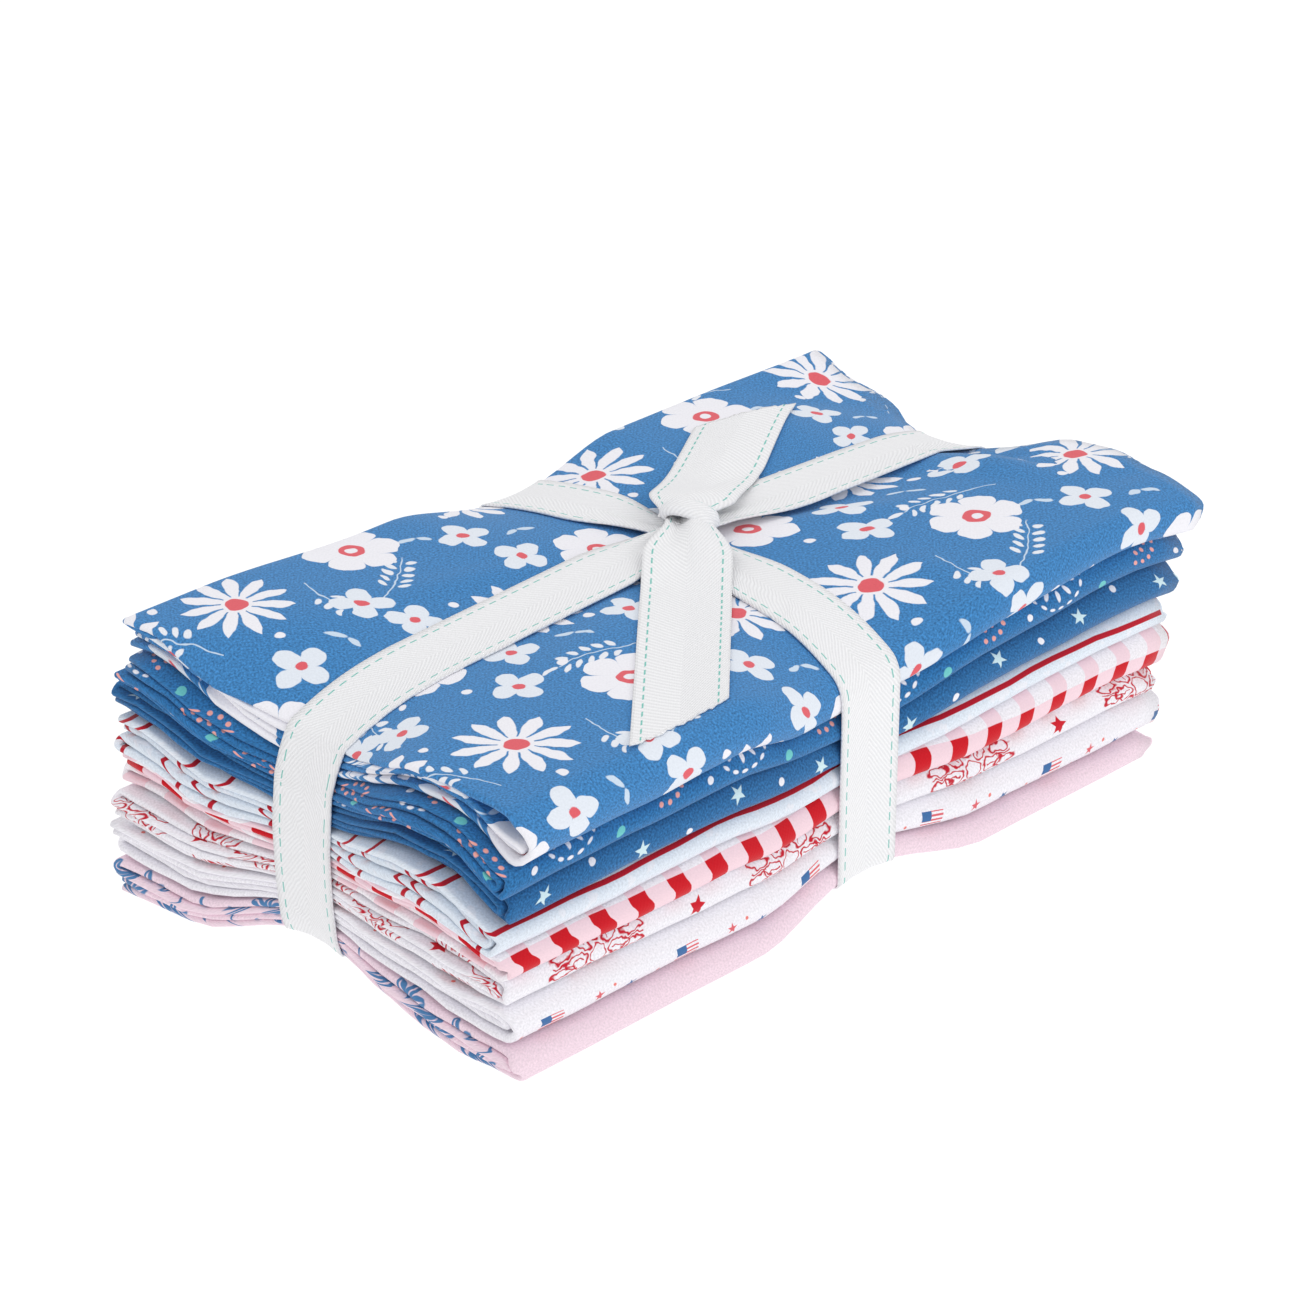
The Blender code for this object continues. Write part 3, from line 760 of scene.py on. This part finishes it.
def speckled(paint, place, colour, contrast):
    """A colour with light and dark specks and with the crossings of the threads."""
    specks = paint.node("ShaderNodeTexNoise", {"noise_dimensions": "2D"},
                        {"Vector": place, "Scale": 1.7, "Detail": 1.0, "Roughness": 0.6})
    return toned(paint, colour, (specks - 0.5) * contrast + crossings(paint, place) * (contrast * 0.05) + 1)


def start_print(name, code, contrast):
    """A material with its dyed ground, and the flat place on the cloth in millimetres."""
    paint = Paint(name)
    place = paint.node("ShaderNodeUVMap", {"uv_map": "Cloth"})
    paint.colour = speckled(paint, place, ink(code)[:3], contrast)
    return paint, place


def weave(paint, place):
    """Plain weave over the whole print: the crossings as relief, and a little of the specks in the inks."""
    raise_threads(paint, 0.4, 0.03, crossings(paint, place))
    paint.feed("Base Color", speckled(paint, place, paint.colour, INK_SPECKS))
    paint.finish({"Roughness": 0.92, "Specular IOR Level": 0.25,
                  "Sheen Weight": 0.15, "Sheen Roughness": 0.5})
    return paint.material


BLUE_SPECKS, PALE_SPECKS, INK_SPECKS = 1.2, 0.25, 0.12     # how much the specks show
print("a motif's spot is found by wrapping the cloth's place round it")

# %% [markdown]
# ### Daisies
#
# The top cut is blue with open white daisies, round flowers, smaller pale blossoms, sprigs, pairs of leaves
# and a few stray dots. Flowers and repeat are my own.
#
# A flower's petal is its reach, its width and how blunt its tip is. All petals grow out of a white disc.

# %% The daisy print
DAISY_REPEAT = (120.0, 96.0)
OPEN_DAISIES = ((14, 20, 10), (66, 71, 50), (101, 32, 80))
ROUND_FLOWERS = ((56, 25, 20), (24, 66, 70), (105, 80, 0))
BLOSSOMS = ((35, 41, 0), (83, 51, 30), (41, 84, 50), (82, 12, 10), (2, 47, 60), (46, 56, 20), (85, 90, 70),
            (37, 1, 35), (112, 55, 15), (6, 88, 0))
SPRIGS = ((70, 36, 205), (4, 68, 118), (117, 12, 250), (44, 96, 335), (33, 14, 100))
LEAF_PAIRS = ((72, 20, 30), (22, 88, 80), (96, 6, 10), (64, 52, 50), (110, 66, 0))
STRAY_DOTS = ((50, 42), (93, 45), (24, 48), (54, 84), (118, 33), (88, 25), (10, 57), (98, 60), (74, 57),
              (12, 3))
SLIM_PETAL, BROAD_PETAL = (14.6, 3.5, 4.0), (12.4, 7.4, 6)
LEAF_STEP = 3.4         # from one pair of a sprig's leaves to the next


def stamp_flowers(paint, place, spots, count, petal, disc, middle):
    """Print white flowers with coral middles, and hand on the distance from their own middles."""
    x, y, distance = nearest_spot(paint, place, DAISY_REPEAT, spots)
    along, aside, _ = petals(paint, x, y, distance, count)
    paint.stamp(paint.either(lance(paint, along, aside, *petal), paint.under(distance, disc, EDGE)), WHITE)
    paint.stamp(paint.under(distance, middle, EDGE), CORAL)
    return distance


def daisy_print(name):
    paint, place = start_print(name, "#3f82bd", BLUE_SPECKS)
    drawn = drawn_by_hand(paint, place, 0.22, 1.6)
    # sprigs: a bent stem with five pairs of leaves and one leaf at its tip
    x, y, _ = nearest_spot(paint, drawn, DAISY_REPEAT, SPRIGS)
    y = y - x * x * 0.010
    stem = paint.under(abs(y), 0.18, 0.2) * (x > -4) * (x < 22)
    step = centred(paint, x, LEAF_STEP)
    out = abs(y) - 2.6
    leaf = ellipse(paint, step * 0.64 + out * 0.77, out * 0.64 - step * 0.77, 1.75, 0.82)
    leaves = paint.either(leaf * (x > 5.1) * (x < 22.1), ellipse(paint, x - 24.6, y, 2.2, 0.9))
    paint.stamp(stem, PALE_BLUE)
    paint.stamp(leaves, CHALK)
    # leaves in pairs, and a few dots
    x, y, _ = nearest_spot(paint, drawn, DAISY_REPEAT, LEAF_PAIRS)
    paint.stamp(ellipse(paint, abs(x) - 2.4, y + abs(x) * 0.3, 2.2, 0.9), PALE_BLUE)
    stamp_dots(paint, drawn, DAISY_REPEAT, STRAY_DOTS, 1.3, WHITE, EDGE)
    # blossoms: four round petals and a coral middle
    x, y, distance = nearest_spot(paint, drawn, DAISY_REPEAT, BLOSSOMS)
    along, aside, _ = petals(paint, x, y, distance, 4)
    paint.stamp(ellipse(paint, along - 4.2, aside, 3.3, 2.9), ink("#e6ecf5"))
    paint.stamp(paint.under(distance, 1.5, EDGE), CORAL)
    # round flowers have a white heart in their coral middle, open daisies have none
    distance = stamp_flowers(paint, drawn, ROUND_FLOWERS, 6, BROAD_PETAL, 5.0, 3.4)
    paint.stamp(paint.under(distance, 1.5, EDGE), WHITE)
    stamp_flowers(paint, drawn, OPEN_DAISIES, 11, SLIM_PETAL, 4.0, 2.9)
    return weave(paint, place)


# %% [markdown]
# ### The other prints
#
# Blue with rings of dashes and dots, blue with stars, a pale stripe, gingham, red line-drawn sprays, small
# flags with stars, and pink with blue sprigs. Their rows are placed so that they show on the front folds.

# %% Dots, stars, stripe and gingham
DOTS_REPEAT = (56.0, 48.0)
RINGS_OF_DASHES = ((15, -15, 0), (40, 8, 20))
RINGS_OF_DOTS = ((45, -14, 0), (4, 14, 0))
OPEN_PART = 1.9         # radians: a ring of dots leaves its round open from this angle on


def dots_print(name):
    paint, place = start_print(name, "#2d72ac", BLUE_SPECKS)
    x, y, distance = nearest_spot(paint, place, DOTS_REPEAT, RINGS_OF_DASHES)
    for radius, count, half_out, half_round in ((6.2, 11, 1.5, 0.62), (9.6, 19, 0.45, 0.95)):
        along, aside, _ = petals(paint, x, y, distance, count)
        paint.stamp(ellipse(paint, along - radius, aside, half_out, half_round), WHITE)
    x, y, distance = nearest_spot(paint, place, DOTS_REPEAT, RINGS_OF_DOTS)
    for radius, count in ((4.6, 11), (7.4, 17)):
        along, aside, middle = petals(paint, x, y, distance, count)
        paint.stamp(ellipse(paint, along - radius, aside, 0.65, 0.65) * (middle < OPEN_PART), ink("#f4aaa1"))
    stamp_dots(paint, place, DOTS_REPEAT, ((30, -5), (1, 0), (24, 25), (52, 22)), 1.3, MINT)
    stamp_dots(paint, place, DOTS_REPEAT, ((3, -7), (34, 24), (14, 18), (54, 4), (22, 7)), 0.95, WHITE)
    return weave(paint, place)


STARS_REPEAT = (92.0, 54.0)
PALE_STARS = ((8, -5, 12), (39, -6, 50), (70, -4, 30), (24, 12, 0), (55, 20, 25), (86, 30, 40), (44, 34, 5))
DOTS_BETWEEN = ((23, -3), (54, -7), (85, -5), (8, 9), (39, 22), (70, 9), (16, 33), (62, 36))


def stars_print(name):
    paint, place = start_print(name, "#2d6ca3", BLUE_SPECKS)
    stamp_stars(paint, place, STARS_REPEAT, PALE_STARS, 2.5, 0.36, ink("#d3ecf2"))
    stamp_dots(paint, place, STARS_REPEAT, DOTS_BETWEEN, 1.0, WHITE)
    return weave(paint, place)


STRIPE_REPEAT = 52.4        # it divides twice the depth of a fold, so that the lines of all layers meet
STRIPE_LINES = (-8.5, 2.0, 21.5, 26.7)
STRIPE_HALF = 0.7           # half the width of a line
STRIPE_DRIFT = -1.2         # how far the lines run out of true along the fold


def stripe_print(name):
    paint, place = start_print(name, "#e3ebf5", PALE_SPECKS)
    specks = paint.node("ShaderNodeTexNoise", {"noise_dimensions": "2D"},
                        {"Vector": place, "Scale": 0.25, "Detail": 2.0})
    paint.stamp(paint.under(0.62 - specks, 0, 0.1) * 0.6, WHITE)
    u, v, _ = paint.parts(place)
    straight = v + u * (STRIPE_DRIFT / LENGTH)
    for middle in STRIPE_LINES:
        high, low = middle + STRIPE_REPEAT / 2, middle - STRIPE_REPEAT / 2
        near = abs(paint.math("WRAP", straight, high, low) - middle)
        paint.stamp(paint.under(near, STRIPE_HALF, 0.15), ink("#bd0c27"))
    return weave(paint, place)


CHECK, CHECK_UP = 12.2, 14.6    # from one red patch to the next, along the fold and up it
CHECK_START, CHECK_ROW = 3.9, -6.2
CHECK_DRIFT = 1.2               # how far the rows run out of true along the fold
CHECK_HALF = (2.65, 3.8)        # half the width and half the height of a red patch
SHIFTED_LAYER = (262.0, 392.0)      # this stretch of the strip is folded half a check further along


def gingham_print(name):
    paint, place = start_print(name, "#f6f2f7", PALE_SPECKS)
    u, v, _ = paint.parts(place)
    shift = (v > SHIFTED_LAYER[0]) * (v < SHIFTED_LAYER[1]) * (CHECK / 2)
    over = abs(centred(paint, u + shift - CHECK_START, CHECK))
    row = abs(centred(paint, v - CHECK_ROW - u * (CHECK_DRIFT / LENGTH), CHECK_UP))
    bars_u, bars_v = paint.under(over, CHECK_HALF[0], 0.15), paint.under(row, CHECK_HALF[1], 0.15)
    paint.stamp(paint.either(bars_u, bars_v), ink("#f7d9e2"))
    paint.stamp(bars_u * bars_v, ink("#d0051b"))
    return weave(paint, place)


# %% Line-drawn sprays, flags and pink sprigs
SPRAYS_REPEAT = (64.0, 40.0)


def red_line_print(name):
    paint, place = start_print(name, "#f3f1f7", PALE_SPECKS)
    drawn = drawn_by_hand(paint, place, 0.4, 2.2)
    # eight veined petals round a ring, and at either side two leaves on a stem, all drawn as lines
    x, y, distance = nearest_spot(paint, drawn, SPRAYS_REPEAT, ((32, -5, 0), (0, 15, 0)))
    along, aside, _ = petals(paint, x, y, distance, 8)
    lines = [
        outline(paint, along - 6.6, aside, 3.2, 1.7),
        outline(paint, x, y, 2.4, 2.4),
        paint.under(aside, 0.16, 0.15) * (along > 4.4) * (along < 8.2),
        outline(paint, abs(x) - 11.0, abs(y - 1) - 1.9, 3.4, 1.2),
        paint.under(abs(y - 1), 0.2, 0.2) * (abs(x) > 8.5) * (abs(x) < 14.0),
    ]
    paint.stamp(paint.either(*lines), ink("#c8142e"))
    stamp_stars(paint, place, SPRAYS_REPEAT, ((0, -5, 0), (32, 15, 0)), 2.7, 0.5, RED)
    return weave(paint, place)


FLAGS_REPEAT = (44.0, 26.0)     # a half drop: the second row lies between the first row's motifs
FLAG_HALF = (3.6, 2.4)
SMALL_STAR = (1.7, 0.36)


def flags_print(name):
    paint, place = start_print(name, "#f4f2f8", PALE_SPECKS)
    sky, rose = ink("#3d6ea6"), ink("#e0636c")
    # flags: stripes across, with a plain corner at the upper left
    x, y, _ = nearest_spot(paint, place, FLAGS_REPEAT, ((11, -5, 0), (33, 8, 0)))
    flag = (abs(x) < FLAG_HALF[0]) * (abs(y) < FLAG_HALF[1])
    corner = (x < -0.4) * (y < 0.2)
    stripes = paint.under(paint.math("PINGPONG", y + FLAG_HALF[1], 0.6), 0.28, 0.1)
    paint.stamp(flag * stripes, rose)
    paint.stamp(flag * corner, sky)
    # stars in both colours and dots between them
    stamp_stars(paint, place, FLAGS_REPEAT, ((26, -6, 15), (4, 7, 30)), *SMALL_STAR, rose)
    stamp_stars(paint, place, FLAGS_REPEAT, ((37, -4, 40), (15, 9, 0)), *SMALL_STAR, sky)
    between = ((20, -3), (31, -7), (2, -4), (24, 10))
    stamp_dots(paint, place, FLAGS_REPEAT, between, 0.5, ink("#ee8078"), 0.15)
    return weave(paint, place)


PINK_REPEAT = (60.0, 52.0)
PINK_SPRIGS = ((0, 16, 100), (2, 31, 60), (-2, 45, 130), (30, 12, 10), (34, 38, 200))
PLAIN_FOLD = (-14.0, 8.0)       # the pink print leaves the front fold bare


def pink_print(name):
    paint, place = start_print(name, "#f3dbe7", PALE_SPECKS)
    drawn = drawn_by_hand(paint, place, 0.3, 1.6)
    x, y, distance = nearest_spot(paint, drawn, PINK_REPEAT, PINK_SPRIGS)
    along, aside, _ = petals(paint, x, y, distance, 7)
    veins = ellipse(paint, along - 3.8, aside, 1.8, 0.25)
    leaves = ellipse(paint, along - 3.6, aside, 3.0, 1.35) * (1 - veins)
    stem = paint.under(abs(y - x * x * 0.03), 0.35, 0.2) * (x > -10) * (x < 0)
    _, v, _ = paint.parts(place)
    printed = 1 - (v > PLAIN_FOLD[0]) * (v < PLAIN_FOLD[1])
    paint.stamp(paint.either(leaves * (x > -2.0), stem) * printed, ink("#4f82b4"))
    return weave(paint, place)


PRINTS = {"cut_pink": pink_print, "cut_flags": flags_print, "cut_red_line": red_line_print,
          "cut_gingham": gingham_print, "cut_stripe": stripe_print, "cut_stars": stars_print,
          "cut_dots": dots_print, "cut_daisies": daisy_print}
print("prints:", len(PRINTS))

# %% The twill tape
TWILL_RIB, TWILL_THREAD = 1.15, 0.55
TAPE_SPECKS = 0.1
STITCH_LINE = 8.6       # from the middle of the tape


def ribbon_paint():
    """White twill: slanted ribs as relief, and a mint stitch line a little inside both edges."""
    paint, place = start_print("twill_tape", "#f6f6f8", TAPE_SPECKS)
    x, y, _ = paint.parts(place)
    ribs = paint.math("SINE", (abs(x) + y * 0.8) * (math.tau / TWILL_RIB))
    threads = paint.math("SINE", x * (math.tau / TWILL_THREAD))
    raise_threads(paint, 0.6, 0.07, ribs + threads * 0.4)
    stitch = paint.under(abs(abs(x) - STITCH_LINE), 0.2, 0.2) * (paint.math("PINGPONG", y, 1.9) < 1.1)
    paint.stamp(stitch, ink("#7ccabf"))
    paint.feed("Base Color", toned(paint, paint.colour, ribs * 0.06 + 0.97))
    paint.finish({"Roughness": 0.85, "Specular IOR Level": 0.3})
    return paint.material


# %% Fold the eight cuts
FINE_GRID, PLAIN_GRID = (76, 48), (36, 26)      # columns and rows of the runs that show most
cloth = []
for number, cut in enumerate(CUTS):
    grid = FINE_GRID if cut["name"] == "cut_daisies" else PLAIN_GRID
    points, flat = cut_points(number, cut, *grid)
    print_material = PRINTS[cut["name"]](cut["name"] + "_print")
    piece = make_sheet(cut["name"] + "_cloth", points, flat, CLOTH, print_material,
                       turned=cut["joined"] == "upper")
    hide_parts(cut["name"])
    cloth.append(piece)

# %% [markdown]
# ## The ribbon
#
# One twill tape goes round the stack both ways. A taut tape touches a stack where a stretched rubber band
# would, so each column of the tape is the hull of what rays hit in an upright section. The lengthwise run
# lies over the crosswise one. Near the knot the tape is drawn together, and the width it loses stands up
# in small pleats.

# %% What rays hit
RIBBON_WIDTH, RIBBON_THICK, RIBBON_LIFT = 22.0, 0.5, 0.2
RUN_WIDTH = 20.0        # the pull makes the runs round the stack a little narrower
RAY_STEP, ROUND_STEPS, FINE_STEP, BEND_WEIGHT = 0.5, 32, 0.25, 0.6
BEND_SPREAD = 6         # a bend is shared with this many fine steps on either side
LOOP_STEPS = 170
TALLEST = 80.0
ABOVE, BESIDE = 200.0, 300.0        # how far outside the stack the rays start


def ray_trees(objects):
    graph = bpy.context.evaluated_depsgraph_get()
    return [BVHTree.FromObject(obj, graph) for obj in objects]


def first_hits(trees, origin, direction):
    """The first place, in millimetres, where a ray meets each of the pieces."""
    found = []
    for tree in trees:
        place = tree.ray_cast(Vector(origin) * MM, Vector(direction))[0]
        if place:
            found.append(place / MM)
    return found


def hull_2d(points):
    """The points of a flat set that a taut loop would touch, in order."""
    points = sorted(set(points))
    chains = []
    for ordered in (points, points[::-1]):
        chain = []
        for p in ordered:
            while len(chain) > 1:
                (ax, ay), (bx, by) = chain[-2], chain[-1]
                if (bx - ax) * (p[1] - ay) - (by - ay) * (p[0] - ax) > 0:
                    break
                chain.pop()
            chain.append(p)
        chains.append(chain[:-1])
    return chains[0] + chains[1]


def taut_loop(points, lift, start, count):
    """A taut loop round a flat set of points, that far outside it, with its steps closest where it bends."""
    around = []
    for a, b in hull_2d([(round(p[0], 3), round(p[1], 3)) for p in points]):
        for step in range(ROUND_STEPS):
            angle = 2 * math.pi * step / ROUND_STEPS
            around.append((a + lift * math.cos(angle), b + lift * math.sin(angle)))
    line = np.array(hull_2d(around)[::-1])
    line = np.vstack([line, line[:1]])
    length = np.concatenate([[0], np.cumsum(np.linalg.norm(np.diff(line, axis=0), axis=1))])
    fine = np.arange(0, length[-1], FINE_STEP)
    fine = np.column_stack([np.interp(fine, length, line[:, i]) for i in (0, 1)])
    highest_half = np.nonzero((fine[:, 0] >= start) & (fine[:, 1] > fine[:, 1].max() / 2))[0]
    fine = np.roll(fine, -highest_half[np.argmin(fine[highest_half, 0])], axis=0)
    steps = np.diff(np.vstack([fine, fine[:1]]), axis=0)
    heading = np.arctan2(steps[:, 1], steps[:, 0])
    bend = np.abs((np.diff(np.append(heading, heading[0])) + math.pi) % (2 * math.pi) - math.pi)
    shared = 2 * BEND_SPREAD + 1
    round_bend = np.concatenate([bend[-BEND_SPREAD:], bend, bend[:BEND_SPREAD]])
    spread = np.convolve(round_bend, np.ones(shared) / shared, "valid")
    measure = np.cumsum(FINE_STEP / length[-1] + BEND_WEIGHT * spread / (2 * math.pi))
    places = np.searchsorted(measure, measure[-1] * np.arange(count) / count)
    return fine[places]


def section_points(trees, along, place, reach):
    """The outline of the stack in an upright section, found with rays from above, below and both ends."""
    found = []
    for here in np.arange(-reach, reach, RAY_STEP):
        other = float(place(here))
        flat = (here, other) if along == 0 else (other, here)
        for start, direction in ((ABOVE, (0, 0, -1)), (-ABOVE, (0, 0, 1))):
            found += first_hits(trees, (*flat, start), direction)
    for side in (-1, 1):
        other = float(place(side * reach))
        flat = (side * BESIDE, other) if along == 0 else (other, side * BESIDE)
        direction = (-side, 0, 0) if along == 0 else (0, -side, 0)
        for height in np.arange(RAY_STEP, TALLEST, RAY_STEP):
            found += first_hits(trees, (*flat, height), direction)
    return [(p[along], p[2]) for p in found]


def highest(trees, x, y, span):
    """Height of the highest thing within a small distance of a place, seen from above."""
    heights = [0.0]
    for dx in (-span, 0, span):
        for dy in (-span, 0, span):
            heights += [p.z for p in first_hits(trees, (x + dx, y + dy, ABOVE), (0, 0, -1))]
    return max(heights)


print("rays start", ABOVE, "mm above the floor")

# %% The two runs of ribbon
BAND_COLUMNS = 11
REACHES = (128.0, 76.0)     # how far the rays of a lengthwise and of a crosswise section reach
DRAWN_TOGETHER = dict(share=0.5, start=5.0, end=32.0)    # of the tape's width, at the knot
PLEATS = dict(height=1.0, count=2.5, slant=9.0)


def band_points(trees, along, line):
    """The points of a run of ribbon right round the stack, as a table of steps and columns."""
    loops = []
    for share in np.linspace(-0.5, 0.5, BAND_COLUMNS):
        place = lambda here, share=share: line(here) + share * RUN_WIDTH
        section = section_points(trees, along, place, REACHES[along])
        loop = taut_loop(section, RIBBON_LIFT + RIBBON_THICK / 2, KNOT[along], LOOP_STEPS)
        here, height = loop[:, 0], loop[:, 1]
        away = np.abs(here - KNOT[along])
        on_top = height > HEIGHT / 2
        kept = mix(DRAWN_TOGETHER["share"], 1.0, rise(away, DRAWN_TOGETHER["start"], DRAWN_TOGETHER["end"]))
        kept = np.where(on_top, kept, 1.0)
        ridges = 1 + np.cos(2 * np.pi * PLEATS["count"] * share + away / PLEATS["slant"])
        pleat = PLEATS["height"] * (1 - kept) * ridges
        other = line(here) + share * RUN_WIDTH * kept
        columns = (here, other, height + pleat) if along == 0 else (other, here, height + pleat)
        loops.append(np.stack(columns, axis=-1))
    points = np.stack(loops, axis=1)
    return np.concatenate([points, points[:1]])


def ribbon_places(points, width):
    """Across and along each point of a ribbon, in millimetres, counted across from its middle line."""
    middle = points[:, points.shape[1] // 2]
    along = np.concatenate([[0], np.cumsum(np.linalg.norm(np.diff(middle, axis=0), axis=1))])
    across = np.linspace(0, 1, points.shape[1]) * width - RIBBON_WIDTH / 2
    return across[None, :] + 0 * along[:, None], along[:, None] + 0 * across[None, :]


def add_ribbon(name, points, closed=False, width=RIBBON_WIDTH):
    """One stretch of ribbon, made as a sheet with its flat places as a UV map; its solid is hidden."""
    flat = ribbon_places(points, width)
    piece = make_sheet(name + "_tape", points, flat, RIBBON_THICK, twill, closed=closed)
    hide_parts(name)
    return piece


twill = ribbon_paint()
bpy.context.view_layer.update()
crosswise = add_ribbon("ribbon_crosswise", band_points(ray_trees(cloth), 1, crosswise_x), closed=True)
bpy.context.view_layer.update()
under_lengthwise = ray_trees(cloth + [crosswise])
lengthwise = add_ribbon("ribbon_lengthwise", band_points(under_lengthwise, 0, lengthwise_y), closed=True)

# %% [markdown]
# ### The knot and its tails
#
# The knot is a short wrap of the tape round its own two ends. The tape is folded in half along its length
# inside the wrap, so the wrap is a puffed ring of 11 mm tape, turned and rolled a little against the line
# of the tails. The tails leave it as narrow arches, open to their full width and come down to lie on
# whatever is below them. Their cut ends are slanted and a little ragged.

# %% The knot
TAIL_TURN = math.radians(223.2)
KNOT_STANDS = 1.6       # the middle of the wrap stands this far over what is below it
KNOT_RING = dict(half_width=6.1, half_height=2.7, length=11.5, swing=math.radians(-10), roll=math.radians(6),
                 lean=0.8, puff=1.2, pleat=0.25, below=0.3, steps=64, columns=19)
bpy.context.view_layer.update()
under_knot = ray_trees(cloth + [crosswise, lengthwise])
knot_base = highest(under_knot, *KNOT, KNOT_RING["half_width"] * 0.6)
knot_middle = knot_base + RIBBON_LIFT + KNOT_STANDS


def knot_points(ring):
    """The points of the wrap, which is puffed across its width and pleated along it."""
    turn = TAIL_TURN + ring["swing"]
    axis = np.array([math.cos(turn), math.sin(turn), 0.0])
    level = np.array([-axis[1], axis[0], 0.0])
    up = np.array([0.0, 0.0, 1.0])
    side_way = level * math.cos(ring["roll"]) - up * math.sin(ring["roll"])
    top_way = up * math.cos(ring["roll"]) + level * math.sin(ring["roll"])
    angle = np.linspace(0, 2 * np.pi, ring["steps"] + 1)[:, None]
    share = np.linspace(-0.5, 0.5, ring["columns"])[None, :]
    edge = np.abs(2 * share)
    pleats = np.cos(2 * np.pi * 2.4 * share + 1.1 * np.sin(angle) + 0.6) * (1 - edge ** 4)
    out = ring["puff"] * (1 - edge ** 3) - 0.7 * edge ** 8 + ring["pleat"] * pleats
    width = ring["length"] * (0.70 + 0.12 * np.sin(angle) + 0.14 * np.cos(angle + 0.4))
    along = share * width + ring["lean"] * np.cos(angle)
    aside = (ring["half_width"] + out) * np.cos(angle)
    above = (ring["half_height"] + out) * np.sin(angle)
    above = np.where(above < 0, ring["below"] * above, above)
    return (np.array([*KNOT, knot_middle]) + along[..., None] * axis + aside[..., None] * side_way
            + above[..., None] * top_way)


add_ribbon("ribbon_knot", knot_points(KNOT_RING), closed=True, width=RIBBON_WIDTH / 2)

# %% The tails
# How far the edges reach from the knot, where the tail opens, its height over the middle of the knot at
# the root, how high it arches, and how deep the hollow beside its middle is
TAILS = {
    "ribbon_tail_front": dict(turn=TAIL_TURN, edges=(118.0, 92.5), widens=(2.0, 19.0), root_rise=1.2,
                              arch=1.9, hollow=2.8, curl=1.6, drift=0.0),
    "ribbon_tail_back": dict(turn=TAIL_TURN - math.pi - 0.19, edges=(82.0, 58.5), widens=(0.0, 12.0),
                             root_rise=1.0, arch=1.5, hollow=0.0, curl=0.0, drift=1.8),
}
TAIL_START = -2.0           # inside the wrap
TAIL_ROOT_WIDTH = 11.5
TAIL_SINKS, ARCH_FADES, DRIFT_FADES = (7.0, 34.0), (6.0, 30.0), (4, 45)
HOLLOW_COLUMN, HOLLOW_HALF = -0.2, 0.28
TAIL_STEPS, TAIL_COLUMNS, TAIL_SPAN = 56, 25, 2.5
SMOOTHINGS, SINKS_AT_MOST = 4, 0.4
CURLED_CORNER = 9.0
RAGGED_WAVES = ((0.3, 9.0, 1.0), (0.35, 23.0, 0.0), (0.45, 61.0, 0.0))     # size, quickness and start


def ragged_end(column):
    """How far the cut end is out of line: a coarse wave and two finer ones for its loose threads."""
    return sum(size * math.sin(quick * column + start) for size, quick, start in RAGGED_WAVES)


def tail_points(spec, trees):
    """The points of a free end: out of the knot, down to the cloth, and flat on it to the slanted end."""
    way = np.array([math.cos(spec["turn"]), math.sin(spec["turn"])])
    side = np.array([-way[1], way[0]])
    root = knot_middle + spec["root_rise"]
    table = np.zeros((TAIL_STEPS + 1, TAIL_COLUMNS, 3))
    for row in range(TAIL_STEPS + 1):
        for number, column in enumerate(np.linspace(-0.5, 0.5, TAIL_COLUMNS)):
            far = mix(spec["edges"][0], spec["edges"][1], column + 0.5)
            if row == TAIL_STEPS:
                far += ragged_end(column)
            out = mix(TAIL_START, far, row / TAIL_STEPS)
            width = mix(TAIL_ROOT_WIDTH, RIBBON_WIDTH, float(rise(out, *spec["widens"])))
            drift = spec["drift"] * (1 - float(rise(out, *DRIFT_FADES)))
            x, y = np.array(KNOT) + way * out + side * (column * width + drift)
            lying = highest(trees, x, y, TAIL_SPAN) + RIBBON_LIFT + RIBBON_THICK / 2
            fading = 1 - float(rise(out, *ARCH_FADES))
            shape = spec["arch"] * (1 - 4 * column * column) - 0.5 * spec["arch"]
            shape -= spec["hollow"] * float(hump(column - HOLLOW_COLUMN, HOLLOW_HALF, HOLLOW_HALF))
            height = mix(root, lying, float(rise(out, *TAIL_SINKS))) + shape * fading
            table[row, number] = x, y, max(lying, height)
    smooth = table.copy()
    for _ in range(SMOOTHINGS):
        z = smooth[..., 2]
        z[1:-1] = (z[:-2] + 2 * z[1:-1] + z[2:]) / 4
        z[:, 1:-1] = (z[:, :-2] + 2 * z[:, 1:-1] + z[:, 2:]) / 4
        z[:] = np.maximum(z, table[..., 2] - SINKS_AT_MOST)
    corner = np.linalg.norm(smooth[..., :2] - smooth[-1, 0, :2], axis=-1)
    smooth[..., 2] += spec["curl"] * np.clip(1 - corner / CURLED_CORNER, 0, 1) ** 2
    return smooth


for tail_name, tail_spec in TAILS.items():
    add_ribbon(tail_name, tail_points(tail_spec, under_knot))
